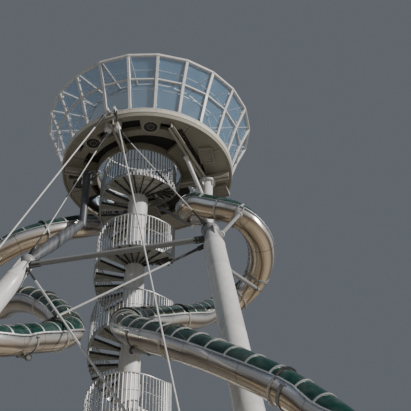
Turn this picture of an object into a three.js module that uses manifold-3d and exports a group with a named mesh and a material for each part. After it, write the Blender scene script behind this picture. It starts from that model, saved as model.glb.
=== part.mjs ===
// Slide tower: a central mast with a spiral stair, three raking legs, a round deck
// under a glazed crown, and two closed tube slides that coil round the near legs.
// Millimetres, +Z up, origin on the mast axis at ground level.
import * as THREE from 'three';
import { mergeVertices } from 'three/addons/utils/BufferGeometryUtils.js';
import Module from 'manifold-3d';

const wasm = await Module();
wasm.setup();

const GAP = 0.3;
const TURN = 2 * Math.PI;

// Mast
const MAST_RADIUS = 250;
const MAST_SIDES = 12;
const MAST_TOP = 26300;
const MAST_PLATE = { radius: 620, thickness: 50 };

// Spiral stair
const STAIR_RISERS = 136;
const RISERS_PER_TURN = 14;
const FLIGHT_STARTS = [1, 18, 32, 46, 60, 74, 88, 102, 116];
const REST = { lowest: 4, start: -150, span: 120, parts: 6 };
const TOP_LANDING_SPAN = 30;
const TREAD_RADIUS = 1120;
const TREAD_THICKNESS = 50;
const HUB_WALL = 45;
const STRINGER = { thickness: 14, above: 60, below: 130 };
const HANDRAIL = { height: 1100, size: 44 };
const RAILING_POST = { first: 2, every: 5, outside: 6, above: 20 };
const EDGE_JOINT = 0.002;
const EDGE_GROUND = 0.18;

// Deck and crown
const CROWN_X = 250;
const DECK_FLOOR_TOP = 26450;
const DECK_FLOOR_THICKNESS = 90;
const DECK_RADIUS = 2560;
const STAIR_HOLE_RADIUS = 1290;
const FASCIA = { thickness: 60, bottom: 26190, top: 26500 };
const CROWN_BAYS = 22;
const CROWN_PHASE = -185.3 * Math.PI / 180;
const CROWN_FOOT = { radius: 2565, z: 26450 };
const CROWN_MIDDLE = { radius: 2893, z: 27510 };
const CROWN_TOP = { radius: 3200, z: 28250 };
const CANOPY_INNER_RADIUS = 1940;
const CROWN_POST = 66;
const CROWN_RAIL = 54;
const MIDDLE_RAIL = 38;
const GLASS_THICKNESS = 17;
const GLASS_OVER_DECK = 30;

// Underside of the deck
const UNDERPLATE = { inner: 1780, outer: 2555, bottom: 26210 };
const PORTS = { radius: 235, ring: 2150, sides: 14, angles: [-89.2, -140.7, 168] };
const CUTOUTS = { ring: 2240, length: 300, width: 170, angles: [-76, -102, -127, -154, -182] };
const GIRDER = { width: 130, bottom: 25950 };
const LINING = { inner: 1290, outer: 1330, bottom: 26090, sides: 24 };
const GIRDER_LINES = [
  [[1270, 70], [2740, -440]],
  [[880, -2400], [2050, -190]],
  [[-1270, -170], [-2270, -320]],
  [[-30, 1290], [-60, 2490]],
];
const ANCHOR = { angle: -109, from: 1310, to: 2880 };
const INNER_HEAD = { at: [-795, -2290, 25860], size: [420, 150, 200] };
const OUTER_HEAD = { at: [-885, -2730, 26160], size: [360, 130, 420] };

// Legs
const LEG_SIDES = 14;
const COLUMN_RADIUS = 165;
const COLUMN_FOOT_Z = 24000;
const COLLAR = { radius: 250, thickness: 70 };
const LEG_NODE_Z = 21300;
const LEG_RADIUS = { top: 270, bottom: 400 };
const LEG_CONE_LENGTH = 900;
const NODE_RADIUS = 120;
const NODE_BALL = 230;
const BALL_SIDES = [10, 6];
const FOOT_PLATE = { radius: 950, thickness: 60 };
const STRUT_END = 0.97;
const STRUT_PROFILE = [
  [NODE_RADIUS, 0], [1.35 * COLUMN_RADIUS, 0.4], [1.3 * COLUMN_RADIUS, 0.65], [NODE_RADIUS, STRUT_END],
];
const LEGS = {
  right: { column: [2100, -170], node: [1980, -3190], foot: [3280, -12640] },
  left: { column: [-1590, -220], node: [-2870, -1590], foot: [-10400, -7460] },
  far: { column: [-50, 2250], node: [20, 4100], foot: [2400, 12300] },
};

// Ties and rods
const TIE_DIAMETER = 150;
const ROD_DIAMETER = 70;
const ROD_SIDES = 8;
const ROD_LANDING = { radius: 660, below: 300 };
const ROD_OFFSET = 90;
const TIE_ENDS = { right: 20920, left: 21150 };
const OUTER_RODS = {
  right: { head: [-781, -2766, 26200], landing: 215 },
  left: { head: [-989, -2694, 26200], landing: -87 },
};
const INNER_RODS = { right: [-672, -2332, 25860], left: [-918, -2248, 25860] };
const CROSS_RODS = {
  right: { from: 'left', start: 21150, end: 7700 },
  left: { from: 'right', start: 20700, end: 16750 },
};

// Slides: routes of the tube's centre line, in metres, down to where the coils begin
const SLIDE_RADIUS = 360;
const SLIDE_WALL = 15;
const TUBE_FACETS = 8;
const COVER_LIFT = 0.8;
const STEP = { longest: 1100, shortest: 380, turn: 0.46 };
const COVER_START = 1250;
const LENGTH_SPLIT = 0.55;
const COIL_PITCH = 6300;
const COIL_END_Z = 1400;
const COIL_STEP = 480;
const ROUTE_DIVISIONS = 1200;
const HATCH = { halfWidth: 330, low: -20, high: 900, length: 1200 };
const RUN_OUT = [[1200, 1050], [2600, 830], [4200, 760]];
const SLIDES = {
  right: {
    turn: 1,
    coilRadius: 2400,
    route: [
      [1.80, 1.42, 26.05], [1.93, 0.95, 25.65], [1.87, 0.52, 25.32], [1.60, 0.19, 25.05],
      [1.54, -0.24, 24.80], [1.70, -0.63, 24.57], [2.10, -0.82, 24.33], [2.60, -1.02, 24.03],
      [2.95, -1.05, 23.82], [3.32, -0.88, 23.58], [3.62, -0.50, 23.30], [3.68, 0.05, 23.00],
      [3.49, 0.60, 22.68], [2.98, 0.90, 22.25], [2.20, 0.52, 21.50], [1.60, -0.55, 20.45],
      [0.78, -1.60, 19.55], [0.15, -2.70, 18.65], [-0.10, -3.80, 17.70], [0.25, -5.00, 16.60],
      [1.09, -6.20, 15.50], [2.05, -7.30, 14.30], [2.75, -7.90, 13.50], [3.30, -8.20, 12.90],
      [3.95, -8.60, 12.00],
    ],
  },
  left: {
    turn: -1,
    coilRadius: 2400,
    route: [
      [-0.60, 1.85, 26.05], [-1.00, 1.47, 25.55], [-1.32, 1.05, 25.08], [-1.62, 0.66, 24.65],
      [-2.02, 0.36, 24.28], [-2.69, 0.14, 23.85], [-3.37, 0.06, 23.42], [-3.95, 0.18, 23.05],
      [-4.50, 0.42, 22.70], [-4.72, 0.95, 22.38], [-4.35, 1.40, 22.08], [-3.80, 1.15, 21.82],
      [-3.45, 0.50, 21.55], [-2.95, -0.20, 21.10], [-2.34, -0.90, 20.40], [-1.78, -1.68, 19.42],
      [-1.50, -2.50, 18.42], [-1.86, -3.27, 17.66], [-2.40, -3.97, 17.06], [-2.86, -4.64, 16.50],
    ],
  },
};
const ARM = { width: 120, height: 170, drop: 470, beyond: 220 };
// Where the slides' arms start on the leg's axis and which height of the slide they carry, in metres.
const ARM_HEIGHTS = {
  right: [[19.6, 22.8], [15.3, 16.6], [12.7, 13.2], [10.1, 10.6], [7.7, 8.2], [5.1, 5.6], [2.7, 3.2]],
  left: [[18.1, 17.1], [14.7, 15.2], [11.9, 12.4], [8.4, 8.9], [6.3, 6.8], [3.5, 4.0]],
};
const HANGER = { from: [550, 1620], to: [1600, 290, 24560], width: 300, thickness: 110, over: 200 };
const YOKE = { distance: 420, width: 1040, thickness: 70, below: 110 };
const STAND = { width: 420, depth: 160, fromEnd: 3 };

const looks = {
  steel: { color: 0xd9dadb, metalness: 0.1, roughness: 0.45 },
  galvanised: { color: 0x9a9c9b, metalness: 0.7, roughness: 0.5 },
  stainless: { color: 0xc9bfae, metalness: 1.0, roughness: 0.25 },
  cover: { color: 0x1f6b55, metalness: 0.0, roughness: 0.15, transparent: true, opacity: 0.6 },
  glass: { color: 0xa9c8de, metalness: 0.0, roughness: 0.05, transparent: true, opacity: 0.35 },
  deck: { color: 0x8b857a, metalness: 0.1, roughness: 0.6 },
};

const tower = new THREE.Group();

function add(name, geometry, look) {
  const mesh = new THREE.Mesh(geometry, new THREE.MeshStandardMaterial(looks[look]));
  mesh.name = name;
  tower.add(mesh);
}

function solid(geometry) {
  const plain = geometry.clone();
  plain.deleteAttribute('normal');
  plain.deleteAttribute('uv');
  const merged = mergeVertices(plain, 1e-3);
  return new wasm.Manifold(new wasm.Mesh({
    numProp: 3,
    vertProperties: new Float32Array(merged.attributes.position.array),
    triVerts: new Uint32Array(merged.index.array),
  }));
}

function geometryOf(body) {
  const mesh = body.getMesh();
  const geometry = new THREE.BufferGeometry();
  geometry.setAttribute('position', new THREE.BufferAttribute(mesh.vertProperties, 3));
  geometry.setIndex(new THREE.BufferAttribute(mesh.triVerts, 1));
  return geometry;
}

function join(geometries) {
  let body = solid(geometries[0]);
  for (const geometry of geometries.slice(1)) {
    body = body.add(solid(geometry));
  }
  return body;
}

function joined(geometries) {
  return geometryOf(join(geometries));
}

const point = (x, y, z) => new THREE.Vector3(x, y, z);

function polar(radius, angle, z, centreX = 0) {
  return point(centreX + radius * Math.cos(angle), radius * Math.sin(angle), z);
}

// A flat-sided bar or round rod between two points.
function bar(from, to, width, height = width, sides = 4) {
  const along = to.clone().sub(from);
  const length = along.length();
  const geometry = sides === 4
    ? new THREE.BoxGeometry(width, height, length)
    : new THREE.CylinderGeometry(width / 2, width / 2, length, sides).rotateX(Math.PI / 2);
  const forward = along.normalize();
  const up = Math.abs(forward.z) > 0.99 ? point(from.x, from.y, 0).normalize() : point(0, 0, 1);
  const side = up.clone().cross(forward).normalize();
  const lift = forward.clone().cross(side);
  const frame = new THREE.Matrix4().makeBasis(side, lift, forward);
  frame.setPosition(from.clone().add(to).multiplyScalar(0.5));
  return geometry.applyMatrix4(frame);
}

// A turned piece whose profile is [radius, distance along] from one point to another.
function turned(from, to, profile, sides = LEG_SIDES) {
  const outline = profile.map(([radius, along]) => new THREE.Vector2(radius, along));
  const geometry = new THREE.LatheGeometry(outline, sides);
  const direction = to.clone().sub(from).normalize();
  const turn = new THREE.Quaternion().setFromUnitVectors(point(0, 1, 0), direction);
  geometry.applyQuaternion(turn);
  return geometry.translate(from.x, from.y, from.z);
}

// A ring with a rectangular section, by inner and outer radius and height.
function ring(inner, outer, bottom, top, sides, x = 0, phase = 0) {
  const outline = [[inner, bottom], [outer, bottom], [outer, top], [inner, top], [inner, bottom]];
  const geometry = new THREE.LatheGeometry(outline.map(([r, z]) => new THREE.Vector2(r, z)), sides);
  return geometry.rotateX(Math.PI / 2).rotateZ(phase + Math.PI / 2).translate(x, 0, 0);
}

function cylinder(radius, bottom, top, sides, x = 0, y = 0) {
  const geometry = new THREE.CylinderGeometry(radius, radius, top - bottom, sides);
  return geometry.rotateX(Math.PI / 2).translate(x, y, (top + bottom) / 2);
}

// A closed body with one section carried along stations; the section is listed
// counter-clockwise as seen by someone the route is coming towards.
function sweep(stations, section) {
  const count = section.length;
  const positions = [];
  const indices = [];
  for (const { at, side, up } of stations) {
    for (const [a, b] of section) {
      positions.push(...at.clone().addScaledVector(side, a).addScaledVector(up, b).toArray());
    }
  }
  // Facets split from the outer corner to the inner one, and along an arc always the same way round.
  const forward = section.map(([a, b], i) => {
    const [c, d] = section[(i + 1) % count];
    const drop = Math.round(Math.hypot(a, b)) - Math.round(Math.hypot(c, d));
    return drop === 0 ? a * d > b * c : drop > 0;
  });
  for (let k = 0; k < stations.length - 1; k += 1) {
    for (let i = 0; i < count; i += 1) {
      const near = k * count + i;
      const next = k * count + (i + 1) % count;
      if (forward[i]) {
        indices.push(near, next, next + count, near, next + count, near + count);
      } else {
        indices.push(near, next, near + count, next, next + count, near + count);
      }
    }
  }
  const contour = section.map(([a, b]) => new THREE.Vector2(a, b));
  const end = (stations.length - 1) * count;
  for (const face of THREE.ShapeUtils.triangulateShape(contour, [])) {
    const clockwise = THREE.ShapeUtils.isClockWise(face.map((i) => contour[i]));
    const [p, q, r] = clockwise ? [...face].reverse() : face;
    indices.push(r, q, p, end + p, end + q, end + r);
  }
  const geometry = new THREE.BufferGeometry();
  geometry.setAttribute('position', new THREE.BufferAttribute(new Float32Array(positions), 3));
  geometry.setIndex(indices);
  return geometry;
}

// A box with its length along a level direction, by centre, size and angle in degrees.
function blockAt([x, y, z], [length, width, height], degrees, growth = 0) {
  const geometry = new THREE.BoxGeometry(length + growth, width + growth, height + growth);
  return geometry.rotateZ(THREE.MathUtils.degToRad(degrees)).translate(x, y, z);
}

function makeMast() {
  add('mast_base', cylinder(MAST_PLATE.radius, 0, MAST_PLATE.thickness, MAST_SIDES), 'steel');
  add('mast', cylinder(MAST_RADIUS, MAST_PLATE.thickness + GAP, MAST_TOP, MAST_SIDES), 'steel');
}

const RISE = DECK_FLOOR_TOP / STAIR_RISERS;
const TREAD_SPAN = (360 - REST.span) / (RISERS_PER_TURN - 1);

// Steps are numbered from 1 at the bottom; once a turn one of them is a long rest on the near side.
function stepArc(step) {
  const turns = Math.floor((step - REST.lowest) / RISERS_PER_TURN);
  const place = step - REST.lowest - turns * RISERS_PER_TURN;
  const isRest = place === 0;
  const start = REST.start + 360 * turns + (isRest ? 0 : REST.span + (place - 1) * TREAD_SPAN);
  return {
    start: THREE.MathUtils.degToRad(start),
    span: THREE.MathUtils.degToRad(isRest ? REST.span : TREAD_SPAN),
    parts: isRest ? REST.parts : 1,
  };
}

// The last step, level with the deck, is wider than a tread.
const TOP_STEP = {
  start: stepArc(STAIR_RISERS).start + EDGE_JOINT,
  span: THREE.MathUtils.degToRad(TOP_LANDING_SPAN),
  parts: 2,
};

function sector(innerRadius, outerRadius, { start, span, parts }, bottom) {
  const corners = (radius) => Array.from({ length: parts + 1 }, (_, k) => {
    const { x, y } = polar(radius, start + span * k / parts, 0);
    return new THREE.Vector2(x, y);
  });
  const outline = new THREE.Shape([...corners(outerRadius), ...corners(innerRadius).reverse()]);
  const geometry = new THREE.ExtrudeGeometry(outline, { depth: TREAD_THICKNESS, bevelEnabled: false });
  return geometry.translate(0, 0, bottom);
}

const lastStepOf = (flight) => (FLIGHT_STARTS[flight + 1] ?? STAIR_RISERS) - 1;

// One turn of the stair: treads on a sleeve that sits round the mast.
function makeFlight(flight) {
  const first = FLIGHT_STARTS[flight];
  const last = lastStepOf(flight);
  const bottom = flight === 0 ? MAST_PLATE.thickness + GAP : (first - 1) * RISE + GAP;
  const inner = MAST_RADIUS + 2 * GAP;
  const parts = [ring(inner, inner + HUB_WALL, bottom, last * RISE, MAST_SIDES)];
  for (let step = first; step <= last; step += 1) {
    const underside = step * RISE - TREAD_THICKNESS;
    parts.push(sector(inner + HUB_WALL / 2, TREAD_RADIUS, stepArc(step), underside));
  }
  let body = join(parts);
  if (last === STAIR_RISERS - 1) {
    body = body.add(topLanding());
  }
  add(`stair_flight_${flight + 1}`, geometryOf(body), 'galvanised');
}

// The last step, out to the edge of the stair hole.
function topLanding() {
  const inner = MAST_RADIUS + 2 * GAP;
  const bottom = DECK_FLOOR_TOP - TREAD_THICKNESS;
  const step = solid(sector(inner + HUB_WALL / 2, 1.1 * STAIR_HOLE_RADIUS, TOP_STEP, bottom));
  const stalk = solid(ring(inner, inner + HUB_WALL, bottom - RISE, DECK_FLOOR_TOP, MAST_SIDES));
  const hole = solid(cylinder(STAIR_HOLE_RADIUS - 2 * GAP, bottom - 2 * RISE, DECK_FLOOR_TOP,
    2 * CROWN_BAYS));
  return step.add(stalk).intersect(hole);
}

// The line of the stair's edge as angle and height: sloping over the treads, level over a rest.
function edgeLine(first, last, joint) {
  const marks = [];
  for (let step = first; step <= last; step += 1) {
    const { start, span, parts } = stepArc(step);
    for (let k = 0; k < parts; k += 1) {
      const height = (k === 0 ? step - 0.5 : step) * RISE;
      marks.push({ angle: start + span * k / parts, height });
    }
  }
  marks.push({ angle: stepArc(last + 1).start, height: (last + 0.5) * RISE });
  const [from, to] = marks;
  marks[0] = {
    angle: from.angle + (to.angle - from.angle) * joint,
    height: from.height + (to.height - from.height) * joint,
  };
  return marks;
}

// A plate or rail that follows the stair's edge.
function edgeBand(innerRadius, outerRadius, marks, low, high) {
  const stations = marks.map(({ angle, height }) => (
    { at: point(0, 0, height), side: polar(-1, angle, 0), up: point(0, 0, 1) }));
  const section = [[-outerRadius, low], [-innerRadius, low], [-innerRadius, high], [-outerRadius, high]];
  return sweep(stations, section);
}

function makeRailing(flight) {
  const inner = TREAD_RADIUS + 2 * GAP;
  const outer = inner + STRINGER.thickness;
  const railInner = inner - HANDRAIL.size / 2;
  const railOuter = railInner + HANDRAIL.size;
  const railBottom = HANDRAIL.height - HANDRAIL.size;
  const joint = flight === 0 ? EDGE_GROUND : EDGE_JOINT;
  const marks = edgeLine(FLIGHT_STARTS[flight], lastStepOf(flight), joint);
  const parts = [
    edgeBand(inner, outer, marks, -STRINGER.below, STRINGER.above),
    edgeBand(railInner, railOuter, marks, railBottom, HANDRAIL.height),
  ];
  for (let k = RAILING_POST.first; k < marks.length - 1; k += RAILING_POST.every) {
    const { angle, height } = marks[k];
    const postRadius = railOuter + RAILING_POST.outside;
    const foot = polar(postRadius, angle, height + RAILING_POST.above - STRINGER.below);
    const head = polar(postRadius, angle, height + HANDRAIL.height - HANDRAIL.size / 2);
    parts.push(bar(foot, head, HANDRAIL.size));
  }
  add(`stair_railing_${flight + 1}`, joined(parts), 'galvanised');
}

// Floor, edge and underside of the round deck, with a hatch over the top of each slide.
function makeDeck() {
  const floorBottom = DECK_FLOOR_TOP - DECK_FLOOR_THICKNESS;
  const disc = new THREE.Shape();
  disc.absarc(CROWN_X, 0, DECK_RADIUS, 0, TURN);
  const stairHole = new THREE.Path();
  stairHole.absarc(0, 0, STAIR_HOLE_RADIUS, 0, TURN, true);
  disc.holes.push(stairHole);
  const floor = new THREE.ExtrudeGeometry(disc, {
    depth: DECK_FLOOR_THICKNESS, bevelEnabled: false, curveSegments: CROWN_BAYS,
  });
  let floorBody = solid(floor.translate(0, 0, floorBottom));
  const plateTop = floorBottom - GAP;
  let plateBody = solid(ring(UNDERPLATE.inner, UNDERPLATE.outer, UNDERPLATE.bottom, plateTop,
    2 * CROWN_BAYS, CROWN_X));
  for (const slide of Object.values(slides)) {
    floorBody = floorBody.subtract(slide.hatch);
    plateBody = plateBody.subtract(slide.hatch);
  }
  for (const angle of PORTS.angles) {
    const centre = polar(PORTS.ring, THREE.MathUtils.degToRad(angle), 0, CROWN_X);
    const port = cylinder(PORTS.radius, FASCIA.bottom, floorBottom, PORTS.sides, centre.x, centre.y);
    plateBody = plateBody.subtract(solid(port));
  }
  for (const angle of CUTOUTS.angles) {
    const centre = polar(CUTOUTS.ring, THREE.MathUtils.degToRad(angle), UNDERPLATE.bottom, CROWN_X);
    const size = [CUTOUTS.width, CUTOUTS.length, 2 * (plateTop - FASCIA.bottom)];
    plateBody = plateBody.subtract(solid(blockAt(centre.toArray(), size, angle)));
  }
  add('deck_floor', geometryOf(floorBody), 'deck');
  add('deck_underplate', geometryOf(plateBody), 'deck');

  const fasciaInner = (DECK_RADIUS + GAP) / Math.cos(Math.PI / CROWN_BAYS);
  const fascia = ring(fasciaInner, DECK_RADIUS + FASCIA.thickness, FASCIA.bottom, FASCIA.top,
    CROWN_BAYS, CROWN_X, CROWN_PHASE);
  add('deck_fascia', fascia, 'steel');
}

// Beams under the deck, the lining of the stair hole and the bracket the rods hang from.
function makeGirders() {
  const top = DECK_FLOOR_TOP - DECK_FLOOR_THICKNESS - GAP;
  const parts = [ring(LINING.inner, LINING.outer, LINING.bottom, top, LINING.sides)];
  const height = top - GIRDER.bottom;
  for (const [[x1, y1], [x2, y2]] of GIRDER_LINES) {
    const length = Math.hypot(x2 - x1, y2 - y1);
    const angle = THREE.MathUtils.radToDeg(Math.atan2(y2 - y1, x2 - x1));
    const centre = [(x1 + x2) / 2, (y1 + y2) / 2, GIRDER.bottom + height / 2];
    parts.push(blockAt(centre, [length, GIRDER.width, height], angle));
  }
  const reach = (ANCHOR.from + ANCHOR.to) / 2;
  const anchorTop = FASCIA.bottom - GAP;
  const anchorMiddle = (GIRDER.bottom + anchorTop) / 2;
  const anchorCentre = polar(reach, THREE.MathUtils.degToRad(ANCHOR.angle), anchorMiddle);
  parts.push(blockAt(anchorCentre.toArray(),
    [ANCHOR.to - ANCHOR.from, GIRDER.width, anchorTop - GIRDER.bottom], ANCHOR.angle));
  parts.push(blockAt(INNER_HEAD.at, INNER_HEAD.size, ANCHOR.angle + 90));
  parts.push(blockAt(OUTER_HEAD.at, OUTER_HEAD.size, ANCHOR.angle + 90));
  const plateZone = ring(UNDERPLATE.inner - 2 * GAP, UNDERPLATE.outer + GAP, UNDERPLATE.bottom - GAP,
    DECK_FLOOR_TOP, 2 * CROWN_BAYS, CROWN_X);
  add('deck_girders', geometryOf(join(parts).subtract(solid(plateZone))), 'deck');
}

// Glass and steel of the crown, bay by bay.
const bayAngle = (bay) => CROWN_PHASE + bay * TURN / CROWN_BAYS;
const crownPoint = (level, bay, inset = 0) => polar(level.radius - inset, bayAngle(bay), level.z, CROWN_X);

function crownRing(level, size) {
  return ring(level.radius - size / 2, level.radius + size / 2, level.z - size / 2, level.z + size / 2,
    CROWN_BAYS, CROWN_X, CROWN_PHASE);
}

// A post of the crown, bent where it passes the middle rail.
function crownPost(bay) {
  const outward = polar(1, bayAngle(bay), 0);
  const side = polar(1, bayAngle(bay) + Math.PI / 2, 0);
  const levels = [CROWN_FOOT, CROWN_MIDDLE, CROWN_TOP];
  const points = levels.map((level) => crownPoint(level, bay));
  const lean = Math.atan2(CROWN_TOP.radius - CROWN_FOOT.radius, CROWN_TOP.z - CROWN_FOOT.z);
  const depth = outward.multiplyScalar(Math.cos(lean)).add(point(0, 0, -Math.sin(lean)));
  const stations = points.map((at) => ({ at, side, up: depth.clone().negate() }));
  const [a, b] = [CROWN_RAIL / 2, CROWN_POST / 2];
  return sweep(stations, [[-a, -b], [a, -b], [a, b], [-a, b]]);
}

function makeCrown() {
  const frame = [crownRing(CROWN_MIDDLE, MIDDLE_RAIL), crownRing(CROWN_TOP, CROWN_POST)];
  for (let bay = 0; bay < CROWN_BAYS; bay += 1) {
    frame.push(crownPost(bay));
  }
  const frameBody = join(frame).trimByPlane([0, 0, 1], FASCIA.top + GAP);
  add('crown_frame', geometryOf(frameBody), 'steel');
}

// A pane band between two levels, one facet to a bay, against the posts' inner faces.
function glassBand(low, high, bottom) {
  const rise = high.z - low.z;
  const run = high.radius - low.radius;
  const inset = CROWN_POST / 2 * Math.hypot(rise, run) / rise + GAP;
  const top = high.z - CROWN_POST / 2 - GAP;
  const radiusAt = (z) => low.radius + run * (z - low.z) / rise - inset;
  const outline = [
    [radiusAt(bottom), bottom], [radiusAt(top), top],
    [radiusAt(top) - GLASS_THICKNESS, top], [radiusAt(bottom) - GLASS_THICKNESS, bottom],
  ];
  outline.push(outline[0]);
  const geometry = new THREE.LatheGeometry(outline.map(([r, z]) => new THREE.Vector2(r, z)), CROWN_BAYS);
  return geometry.rotateX(Math.PI / 2).rotateZ(CROWN_PHASE + Math.PI / 2).translate(CROWN_X, 0, 0);
}

function makeCrownGlass() {
  const lowerStart = FASCIA.top + GLASS_OVER_DECK;
  const upperStart = CROWN_MIDDLE.z + CROWN_POST / 2 + GAP;
  add('crown_glass_lower', glassBand(CROWN_FOOT, CROWN_MIDDLE, lowerStart), 'glass');
  add('crown_glass_upper', glassBand(CROWN_MIDDLE, CROWN_TOP, upperStart), 'glass');
}

// The open canopy: beams from the crown's top rail to an inner ring, glazed between.
function makeCanopy() {
  const height = CROWN_TOP.z + (CROWN_POST + CROWN_RAIL) / 2 + GAP;
  const inner = { radius: CANOPY_INNER_RADIUS, z: height };
  const outer = { radius: CROWN_TOP.radius, z: height };
  const beams = [crownRing(inner, CROWN_RAIL)];
  for (let bay = 0; bay < CROWN_BAYS; bay += 1) {
    beams.push(bar(crownPoint(outer, bay), crownPoint(inner, bay), CROWN_RAIL));
  }
  add('canopy_frame', joined(beams), 'steel');
  const paneBottom = height + CROWN_RAIL / 2 + GAP;
  const panes = ring(CANOPY_INNER_RADIUS, CROWN_TOP.radius - CROWN_RAIL, paneBottom,
    paneBottom + GLASS_THICKNESS, CROWN_BAYS, CROWN_X, CROWN_PHASE);
  add('canopy_glass', panes, 'glass');
}

// Points on a leg's axis, by height.
function legAxis({ node, foot }, z) {
  const share = (LEG_NODE_Z - z) / LEG_NODE_Z;
  return point(node[0] + (foot[0] - node[0]) * share, node[1] + (foot[1] - node[1]) * share, z);
}

const nodePointOf = ({ node }) => point(node[0], node[1], LEG_NODE_Z);

function ball(centre, radius) {
  return solid(new THREE.SphereGeometry(radius, ...BALL_SIDES).translate(centre.x, centre.y, centre.z));
}

// The tapered lower tube as a solid, grown by a margin where other pieces end on it.
function lowerTube(leg, growth = 0) {
  const nodePoint = nodePointOf(leg);
  const footPoint = legAxis(leg, 0);
  const length = nodePoint.distanceTo(footPoint);
  const below = 2 * LEG_RADIUS.bottom;
  const profile = [[0, -below], [LEG_RADIUS.bottom + growth, -below],
    [LEG_RADIUS.top + growth, length - LEG_CONE_LENGTH], [NODE_RADIUS + growth, length], [0, length]];
  return solid(turned(footPoint, nodePoint, profile));
}

// One raking leg: foot plate, tapered lower tube with its slide arms, and the strut and
// column that carry the deck.
function makeLeg(name, leg) {
  const { column, foot } = leg;
  const nodePoint = nodePointOf(leg);
  const plateTop = FOOT_PLATE.thickness;
  add(`${name}_leg_foot`, cylinder(FOOT_PLATE.radius, 0, plateTop, LEG_SIDES, foot[0], foot[1]), 'steel');

  let lower = lowerTube(leg).add(ball(nodePoint, NODE_BALL));
  for (const arm of slideArms(name, leg)) {
    lower = lower.add(arm);
  }
  add(`${name}_lower_leg`, geometryOf(lower.trimByPlane([0, 0, 1], plateTop + GAP)), 'steel');

  const columnFoot = point(column[0], column[1], COLUMN_FOOT_Z);
  const deckZ = GIRDER.bottom - GAP;
  const strutLength = nodePoint.distanceTo(columnFoot);
  const outline = STRUT_PROFILE.map(([radius, share]) => [radius, share * strutLength]);
  const profile = [[0, 0], ...outline, [0, STRUT_END * strutLength]];
  const strut = turned(nodePoint, columnFoot, profile);
  const post = cylinder(COLUMN_RADIUS, COLUMN_FOOT_Z - COLUMN_RADIUS, deckZ, LEG_SIDES, ...column);
  const collar = cylinder(COLLAR.radius, deckZ - COLLAR.thickness, deckZ, LEG_SIDES, ...column);
  const upper = join([post, strut, collar]).subtract(ball(nodePoint, NODE_BALL + 2 * GAP));
  add(`${name}_upper_leg`, geometryOf(upper), 'steel');
}

function rod(from, to, diameter = ROD_DIAMETER) {
  return solid(bar(from, to, diameter, diameter, ROD_SIDES));
}

// Where a rod from above meets a leg's node, set off from the strut that ends there too.
function besideStrut(leg, from) {
  const nodePoint = nodePointOf(leg);
  const strut = point(...leg.column, COLUMN_FOOT_Z).sub(nodePoint).normalize();
  const away = from.clone().sub(nodePoint).projectOnPlane(strut).normalize();
  return nodePoint.addScaledVector(away, ROD_OFFSET);
}

// The tie between the near legs, and the rods that brace the tower on that side.
function makeBracing() {
  const heads = [INNER_HEAD, OUTER_HEAD].map(({ at, size }) => (
    solid(blockAt(at, size, ANCHOR.angle + 90, 2 * GAP))));
  const [rightNode, leftNode] = [nodePointOf(LEGS.right), nodePointOf(LEGS.left)];
  const clearRadius = NODE_BALL + 2 * GAP;
  const clearance = { right: ball(rightNode, clearRadius), left: ball(leftNode, clearRadius) };
  const tubes = { right: lowerTube(LEGS.right, 2 * GAP), left: lowerTube(LEGS.left, 2 * GAP) };
  const [tieLeft, tieRight] = [legAxis(LEGS.left, TIE_ENDS.left), legAxis(LEGS.right, TIE_ENDS.right)];
  const tie = rod(tieLeft, tieRight, TIE_DIAMETER).subtract(clearance.right).subtract(clearance.left)
    .subtract(tubes.right).subtract(tubes.left);
  const besideTie = rod(tieLeft, tieRight, TIE_DIAMETER + 4 * GAP);
  add('main_tie', geometryOf(tie), 'steel');
  for (const side of ['right', 'left']) {
    const inner = rod(point(...INNER_RODS[side]), besideStrut(LEGS[side], point(...INNER_RODS[side])));
    add(`inner_rod_${side}`, geometryOf(inner.subtract(heads[0]).subtract(clearance[side])), 'steel');

    const { head, landing } = OUTER_RODS[side];
    const offset = polar(ROD_LANDING.radius, THREE.MathUtils.degToRad(landing), -ROD_LANDING.below);
    const outer = rod(point(...head), legAxis(LEGS[side], 0).add(offset));
    const landed = outer.trimByPlane([0, 0, 1], FOOT_PLATE.thickness + GAP);
    add(`outer_rod_${side}`, geometryOf(landed.subtract(heads[1])), 'steel');

    const { from, start, end } = CROSS_RODS[side];
    const cross = rod(legAxis(LEGS[from], start), legAxis(LEGS[side], end));
    const trimmed = cross.subtract(clearance[from]).subtract(tubes.right).subtract(tubes.left)
      .subtract(besideTie);
    add(`cross_rod_${side}`, geometryOf(trimmed), 'steel');
  }
}

// The full centre line of a slide: its own route, coils down the leg, then the run-out.
function slideRoute(name) {
  const { turn, coilRadius, route } = SLIDES[name];
  const leg = LEGS[name];
  const points = route.map(([x, y, z]) => point(1000 * x, 1000 * y, 1000 * z));
  const last = points[points.length - 1];
  const centre = legAxis(leg, last.z);
  const startAngle = Math.atan2(last.y - centre.y, last.x - centre.x);
  const startRadius = Math.hypot(last.y - centre.y, last.x - centre.x);
  const fall = last.z - COIL_END_Z;
  const steps = Math.round(fall / COIL_STEP);
  for (let step = 1; step <= steps; step += 1) {
    const z = last.z - fall * step / steps;
    const angle = startAngle + turn * TURN * (last.z - z) / COIL_PITCH;
    const radius = startRadius + (coilRadius - startRadius) * Math.min(1, 2 * step / steps);
    const axis = legAxis(leg, z);
    points.push(polar(radius, angle, z).add(point(axis.x, axis.y, 0)));
  }
  const [before, end] = points.slice(-2);
  const ahead = end.clone().sub(before).setZ(0).normalize();
  for (const [distance, z] of RUN_OUT) {
    points.push(end.clone().addScaledVector(ahead, distance).setZ(z));
  }
  const curve = new THREE.CatmullRomCurve3(points, false, 'centripetal');
  curve.arcLengthDivisions = ROUTE_DIVISIONS;
  return curve;
}

// An upright frame at a distance along a slide.
function stationAt(curve, distance) {
  const share = Math.min(1, distance / curve.getLength());
  const along = curve.getTangentAt(share);
  const side = point(-along.y, along.x, 0).normalize();
  return { at: curve.getPointAt(share), along, side, up: along.clone().cross(side), distance };
}

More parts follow.
